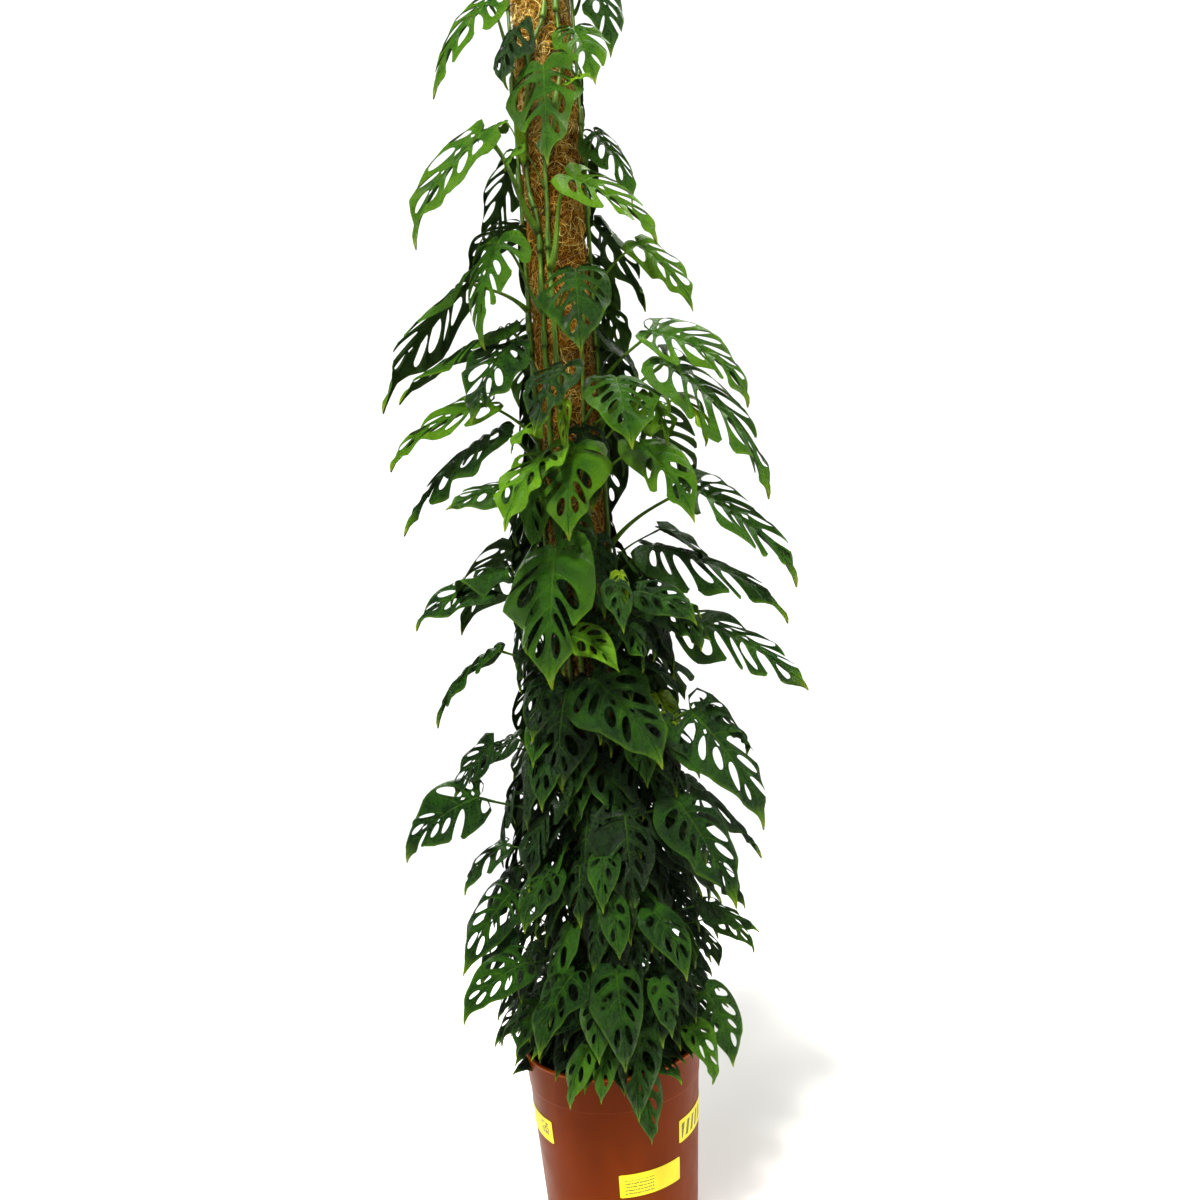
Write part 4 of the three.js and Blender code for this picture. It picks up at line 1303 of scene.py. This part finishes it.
def hanging_root(rng):
    """A long thin root that runs down the outside of the pole to the soil."""
    share = np.linspace(0, 1, ROOT_STEPS)
    start = rng.uniform(.3, .95)
    bearing = rng.uniform(-60, 75) if rng.random() < .6 else rng.uniform(75, 300)
    sway = rng.uniform(-14, 14) * np.sin(share * rng.uniform(3, 6)) + rng.uniform(-12, 12) * share
    off = 6 + 10 * np.sin(share * 3.1) * rng.random() + 22 * share ** 3
    return around(bearing + sway, POLE_RADIUS + off * MM, SOIL_TOP + start * (1 - share) - .01)


def add_roots(name, paths, sizes):
    taper = np.linspace(1, .55, ROOT_STEPS)
    roots = Shells().add_tubes(np.array(paths), np.array(sizes)[:, None] * taper, 6)
    roots.build(name, root_brown(), "stem")


def add_sheaths(shells, number, nodes, rng):
    """The pale pointed scales that wrap the young stem above some upper nodes."""
    share = np.linspace(0, 1, 9)
    for node in nodes:
        if node < SHEATHS_ABOVE or rng.random() < .45:
            continue
        height = node + share * rng.uniform(.03, .055)
        path = vine_point(number, np.minimum(height, vine_top(number)))
        path = path + level_unit(path) * (1.2 + 2.5 * share ** 2)[:, None] * MM
        path[:, 2] = SOIL_TOP + height
        radius = (5.4 * np.sqrt(1 - share ** 2.2) + .25) * MM
        shells.add_tubes(path, radius, 10, (0, 0, -.6, 0))


# ---- leaves

def nearest_vine(bearing, height):
    """The vine closest to a bearing, of those that reach a height in millimetres above the soil."""
    def away(number):
        return abs((vine_bearing(number, height * MM) - bearing + 180) % 360 - 180)

    return min((number for number, (top, _) in enumerate(VINES, 1) if height <= top + 40), key=away)


class Crowd:
    """Remembers where blades are, so that a new one can be kept clear of them."""

    def __init__(self):
        self.points = np.zeros((0, 3))

    def sample(self, leaf):
        along = np.repeat(np.linspace(.05, .95, 6), 3)
        across = np.tile([-.17, 0, .17], 6) * np.repeat([1, 1.1, 1, .8, .45, .1], 3)
        middle, side, normal = blade_frame(leaf, along)
        drop = leaf["cup"] * (across / HALF_WIDTH) ** 2
        return middle + (side * across[:, None] - normal * drop[:, None]) * leaf["length"]

    def room(self, leaf):
        points = self.sample(leaf)
        if not len(self.points):
            return 1.0
        gaps = np.linalg.norm(points[:, None] - self.points[None], axis=-1).min(1)
        return float(np.sort(gaps)[:3].mean())

    def add(self, leaf):
        self.points = np.concatenate([self.points, self.sample(leaf)])


def make_leaves():
    material = leaf_green()
    crowd = Crowd()
    for number, row in enumerate(LEAVES, 1):
        rng = np.random.default_rng(1000 + number)
        leaf = leaf_shape(rng, *row, tone=TONES.get(number)) | FORMS.get(number, {})
        crowd.add(leaf)
        shells = Shells()
        build_leaf(shells, leaf, rng)
        shells.build(f"leaf_blade_{number:02d}", material, "leaf", [f"leaf_{number:02d}"])
    return material, crowd


LEAVES_PER_PIECE = 24
SKIRT_TRIES = 14
SKIRT_ROOM = 8 * MM
SCATTERED_COUNT = 300
SCATTERED_TRIES = 14000
SCATTERED_ROOM = 11 * MM
CROWN_NECK = 1080  # height in millimetres above the soil from which the front of the pole stays open

# Forms that some of the smaller leaves take.
CURLED = dict(cup=.30, wave=.10, ripples=2.5, limp=.12, fold=.3, hook=90)
ROLLED = dict(cup=.25, breadth=.40, openness=.2, fold=.9, hook=0, twist=10, sweep=10)

# Smaller leaves that fill the plant between those of the CAD model: bearing, reach, height, length,
# bearing of the blade, dip, roll and tone.
SMALL_LEAVES = [
    [-28, 30, 1750, 130, -40, 70, -10, .22, CURLED], [-80, 15, 1445, 145, -120, 25, 0, .3],
    [-55, 75, 990, 125, -65, 20, -35, .4], [0, 60, 1170, 155, -35, 55, -5, .22],
    [-15, 65, 1030, 170, -50, 50, -5, .64], [65, 150, 1115, 105, 65, 60, 20, .95],
    [-8, 70, 735, 112, 55, 35, 50, .66], [85, 95, 905, 120, 90, 40, 20, .35],
    [85, 105, 470, 200, 100, 50, 20, .12], [-70, 85, 565, 130, -110, 35, -30, .12],
    [-50, 45, 570, 135, -10, 60, 0, .25], [-70, 115, 390, 110, -80, 45, -20, .3],
    [-30, 100, 365, 115, -40, 45, -10, .28], [5, 90, 390, 100, -15, 60, 0, .36],
    [5, 110, 315, 90, 20, 65, 0, .32], [30, 115, 290, 120, 40, 50, 10, .3],
    [65, 130, 275, 110, 90, 30, 25, .3], [75, 145, 245, 95, 85, 45, 30, .45],
    [-5, 140, 175, 90, 0, 70, 0, .42], [25, 150, 195, 85, 20, 65, 5, .36],
    [45, 130, 95, 95, 45, 60, 10, .5], [-10, 135, 100, 95, -60, 65, -10, .5],
    [0, 130, 105, 90, -40, 70, 0, .45], [15, 130, 45, 98, 15, 75, 5, .4],
    [-42, 115, 150, 90, -50, 55, -15, .35], [85, 70, 620, 95, 20, 50, 0, .98],
    [31, 80, 832, 62, 30, 80, 0, .98], [40, 95, 800, 120, 60, 30, 50, .3],
    [50, 110, 770, 110, 95, 35, 55, .25], [25, 90, 815, 95, 10, 60, 0, .35],
    [-25, 60, 1540, 58, -60, 55, -20, .6], [20, 55, 1640, 70, 40, 20, 30, .85],
    [0, 75, 1112, 100, -20, 84, 0, .85, ROLLED], [-20, 70, 1090, 90, -60, 40, 0, .7, CURLED],
    [52, 120, 1120, 105, 40, 65, 10, .72, CURLED], [45, 95, 790, 105, 80, 20, 40, .34, CURLED],
    [60, 110, 765, 100, 60, 45, 20, .40, CURLED], [35, 85, 745, 90, 20, 60, 0, .36, CURLED],
    [-48, 45, 1600, 60, -90, 30, -30, .6, CURLED], [-68, 112, 819, 150, -88, 22, -40, .3],
    [-62, 85, 850, 120, -85, 25, -30, .35, CURLED], [-75, 120, 560, 120, -80, 50, -35, .2],
    [78, 150, 600, 120, 85, 50, 35, .2, CURLED], [-82, 100, 340, 120, -95, 60, -30, .15],
    [95, 130, 330, 125, 95, 55, 30, .15], [-60, 120, 250, 100, -70, 50, -30, .2],
]


def make_small_leaves(material, crowd):
    rng = np.random.default_rng(77)
    leaves = []
    for bearing, reach, height, length, heading, dip, roll, tone, *form in SMALL_LEAVES:
        rise = 55 if height > 120 else height * .4
        leaf = leaf_shape(rng, nearest_vine(bearing, height), rise, bearing, reach, height, length, heading,
                          dip, roll, tone)
        for change in form:
            leaf |= change
        crowd.add(leaf)
        leaves.append(leaf)
    leaves += skirt_leaves(crowd, rng)
    leaves += scattered_leaves(crowd, rng)
    leaves.sort(key=lambda leaf: leaf["base"][2])
    for start in range(0, len(leaves), LEAVES_PER_PIECE):
        shells = Shells()
        for leaf in leaves[start:start + LEAVES_PER_PIECE]:
            build_leaf(shells, leaf, rng)
        shells.build(f"small_leaves_{start // LEAVES_PER_PIECE + 1:02d}", material, "leaf")


# How far the crown reaches at heights above the floor: to the left, to the right, and in front, where the
# leaves of the tables lie over the others.
CROWN_RADIUS = .22
CROWN_HEIGHTS = [.33, .45, .55, .70, .80, .95, 1.05, 1.12, 1.16, 1.25, 1.30, 1.45, 1.60, 1.75, 1.90, 2.10]
CROWN_LEFT = [.20, .20, .20, .18, .135, .12, .125, .14, .14, .12, .10, .09, .085, .075, .07, .07]
CROWN_RIGHT = [.20, .21, .20, .18, .18, .17, .16, .13, .065, .065, .12, .13, .10, .08, .07, .07]
CROWN_FRONT = [.20, .18, .17, .15, .12, .115, .11, .11, .11, .11, .11, .11, .10, .10, .09, .08]


def fits(leaf, crowd, room):
    """Whether a leaf has room beside the others, in the crown and clear of the pole, soil and pot."""
    points = crowd.sample(leaf)
    x, y, height = points.T
    radius = np.hypot(x, y)
    low, high = np.array(cad_box)
    inside = (points > low + 5 * MM).all() and (points < high - 5 * MM).all()
    left, right, front = (np.interp(height, CROWN_HEIGHTS, reach)
                          for reach in (CROWN_LEFT, CROWN_RIGHT, CROWN_FRONT))
    crown = (x > -left) & (x < right) & (y > -front) & (radius < CROWN_RADIUS)
    wall = pot_radius(POT_HEIGHT) - POT_WALL - 4 * MM
    ground = np.where(radius < wall, SOIL_TOP + 4 * MM,
                      np.where(radius < RIM_RADIUS + 4 * MM, POT_HEIGHT + 4 * MM, 0))
    clear = (radius > POLE_RADIUS + 3 * MM) & (height > ground)
    return bool(inside and (crown & clear).all() and crowd.room(leaf) > room)


def skirt_leaves(crowd, rng):
    """Three rings of low leaves that cover the soil: over the rim, close to the pole, and above both."""
    leaves = []
    for count, reach, height, length, dip in ((30, (55, 85), (82, 140), (85, 112), (15, 42)),
                                              (26, (25, 50), (62, 105), (75, 98), (25, 50)),
                                              (22, (45, 80), (130, 190), (90, 115), (45, 68))):
        for i in range(count):
            for _ in range(SKIRT_TRIES):
                bearing = 360 * (i + rng.uniform(-.4, .4)) / count
                level = rng.uniform(*height)
                leaf = leaf_shape(rng, nearest_vine(bearing, level), level * .5, bearing, rng.uniform(*reach),
                                  level, rng.uniform(*length), bearing + rng.uniform(-28, 28),
                                  rng.uniform(*dip), rng.uniform(-20, 20), rng.uniform(.04, .28))
                leaf["bend"] = min(leaf["bend"], 30)
                leaf["hook"] = min(leaf["hook"], 20)
                if fits(leaf, crowd, SKIRT_ROOM):
                    crowd.add(leaf)
                    leaves.append(leaf)
                    break
    return leaves


def scattered_leaves(crowd, rng):
    """Leaves at random places along the vines, close in by the pole where there is still room."""
    leaves = []
    for _ in range(SCATTERED_TRIES):
        if len(leaves) == SCATTERED_COUNT:
            break
        height = 15 + 1760 * rng.random() ** 1.9
        bearing = rng.uniform(-180, 180)
        if height > CROWN_NECK and abs(bearing) < 80:
            continue
        length = rng.uniform(80, 130) if height < 330 else rng.uniform(100, 185)
        reach = rng.uniform(12, 110)
        if height > CROWN_NECK:
            reach = rng.uniform(12, 60)
        heading = bearing + rng.uniform(-40, 40)
        dip = rng.uniform(45, 82)
        if height < 110:
            dip = rng.uniform(10, 40)
        rise = min(rng.uniform(40, 90), height * .5)
        tone = .20 * min(height / 1500, 1) + .40 * rng.random() ** 2.5
        leaf = leaf_shape(rng, nearest_vine(bearing, height), rise, bearing, reach, height, length, heading,
                          dip, rng.uniform(-20, 20), tone)
        leaf["openness"] *= .75
        if fits(leaf, crowd, SCATTERED_ROOM):
            crowd.add(leaf)
            leaves.append(leaf)
    return leaves


def make_buds(material):
    """Rolled new leaves at the tips of the vines, and one pale sheath that a new leaf has just left."""
    shells = Shells()
    share = np.linspace(0, 1, 16)
    rise = share[:, None]
    for number in range(1, len(VINES) + 1):
        rng = np.random.default_rng(500 + number)
        tip = vine_point(number, vine_top(number))
        length = rng.uniform(.055, .08)
        lean = level_unit(tip) * rng.uniform(.01, .03)
        radius = (3.1 * np.sqrt(np.clip(1 - share ** 1.6, 0, 1)) * (.8 + .5 * share) + .25) * MM
        shells.add_tubes(tip + UP * (rise * length - 4 * MM) + lean * rise ** 2, radius, 12, (.8, 0, 0, .55))
    foot = vine_point(1, EMPTY_SHEATH_HEIGHT)
    lean = level_unit(foot) * 12 * MM
    radius = (8.5 * np.sin(np.pi * (.12 + .88 * share)) ** .7 + .3) * MM
    shells.add_tubes(foot + lean * (.5 + rise ** 1.5) + UP * rise * .092, radius, 14, (.9, .9, 0, 0), oval=.6)
    shells.build("new_leaf_buds", material, "leaf")


# ---- the scene

def dress_core():
    """The pipe and its cap keep the shapes of the CAD model."""
    material = core_plastic()
    for name in ("pole_core", "pole_cap"):
        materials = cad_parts[name].data.materials
        materials.clear()
        materials.append(material)


studio()
make_pot()
make_soil()
make_labels()
make_pole()
dress_core()
make_vines()
leaf_material, crowd = make_leaves()
make_small_leaves(leaf_material, crowd)
make_buds(leaf_material)

bpy.context.view_layer.update()
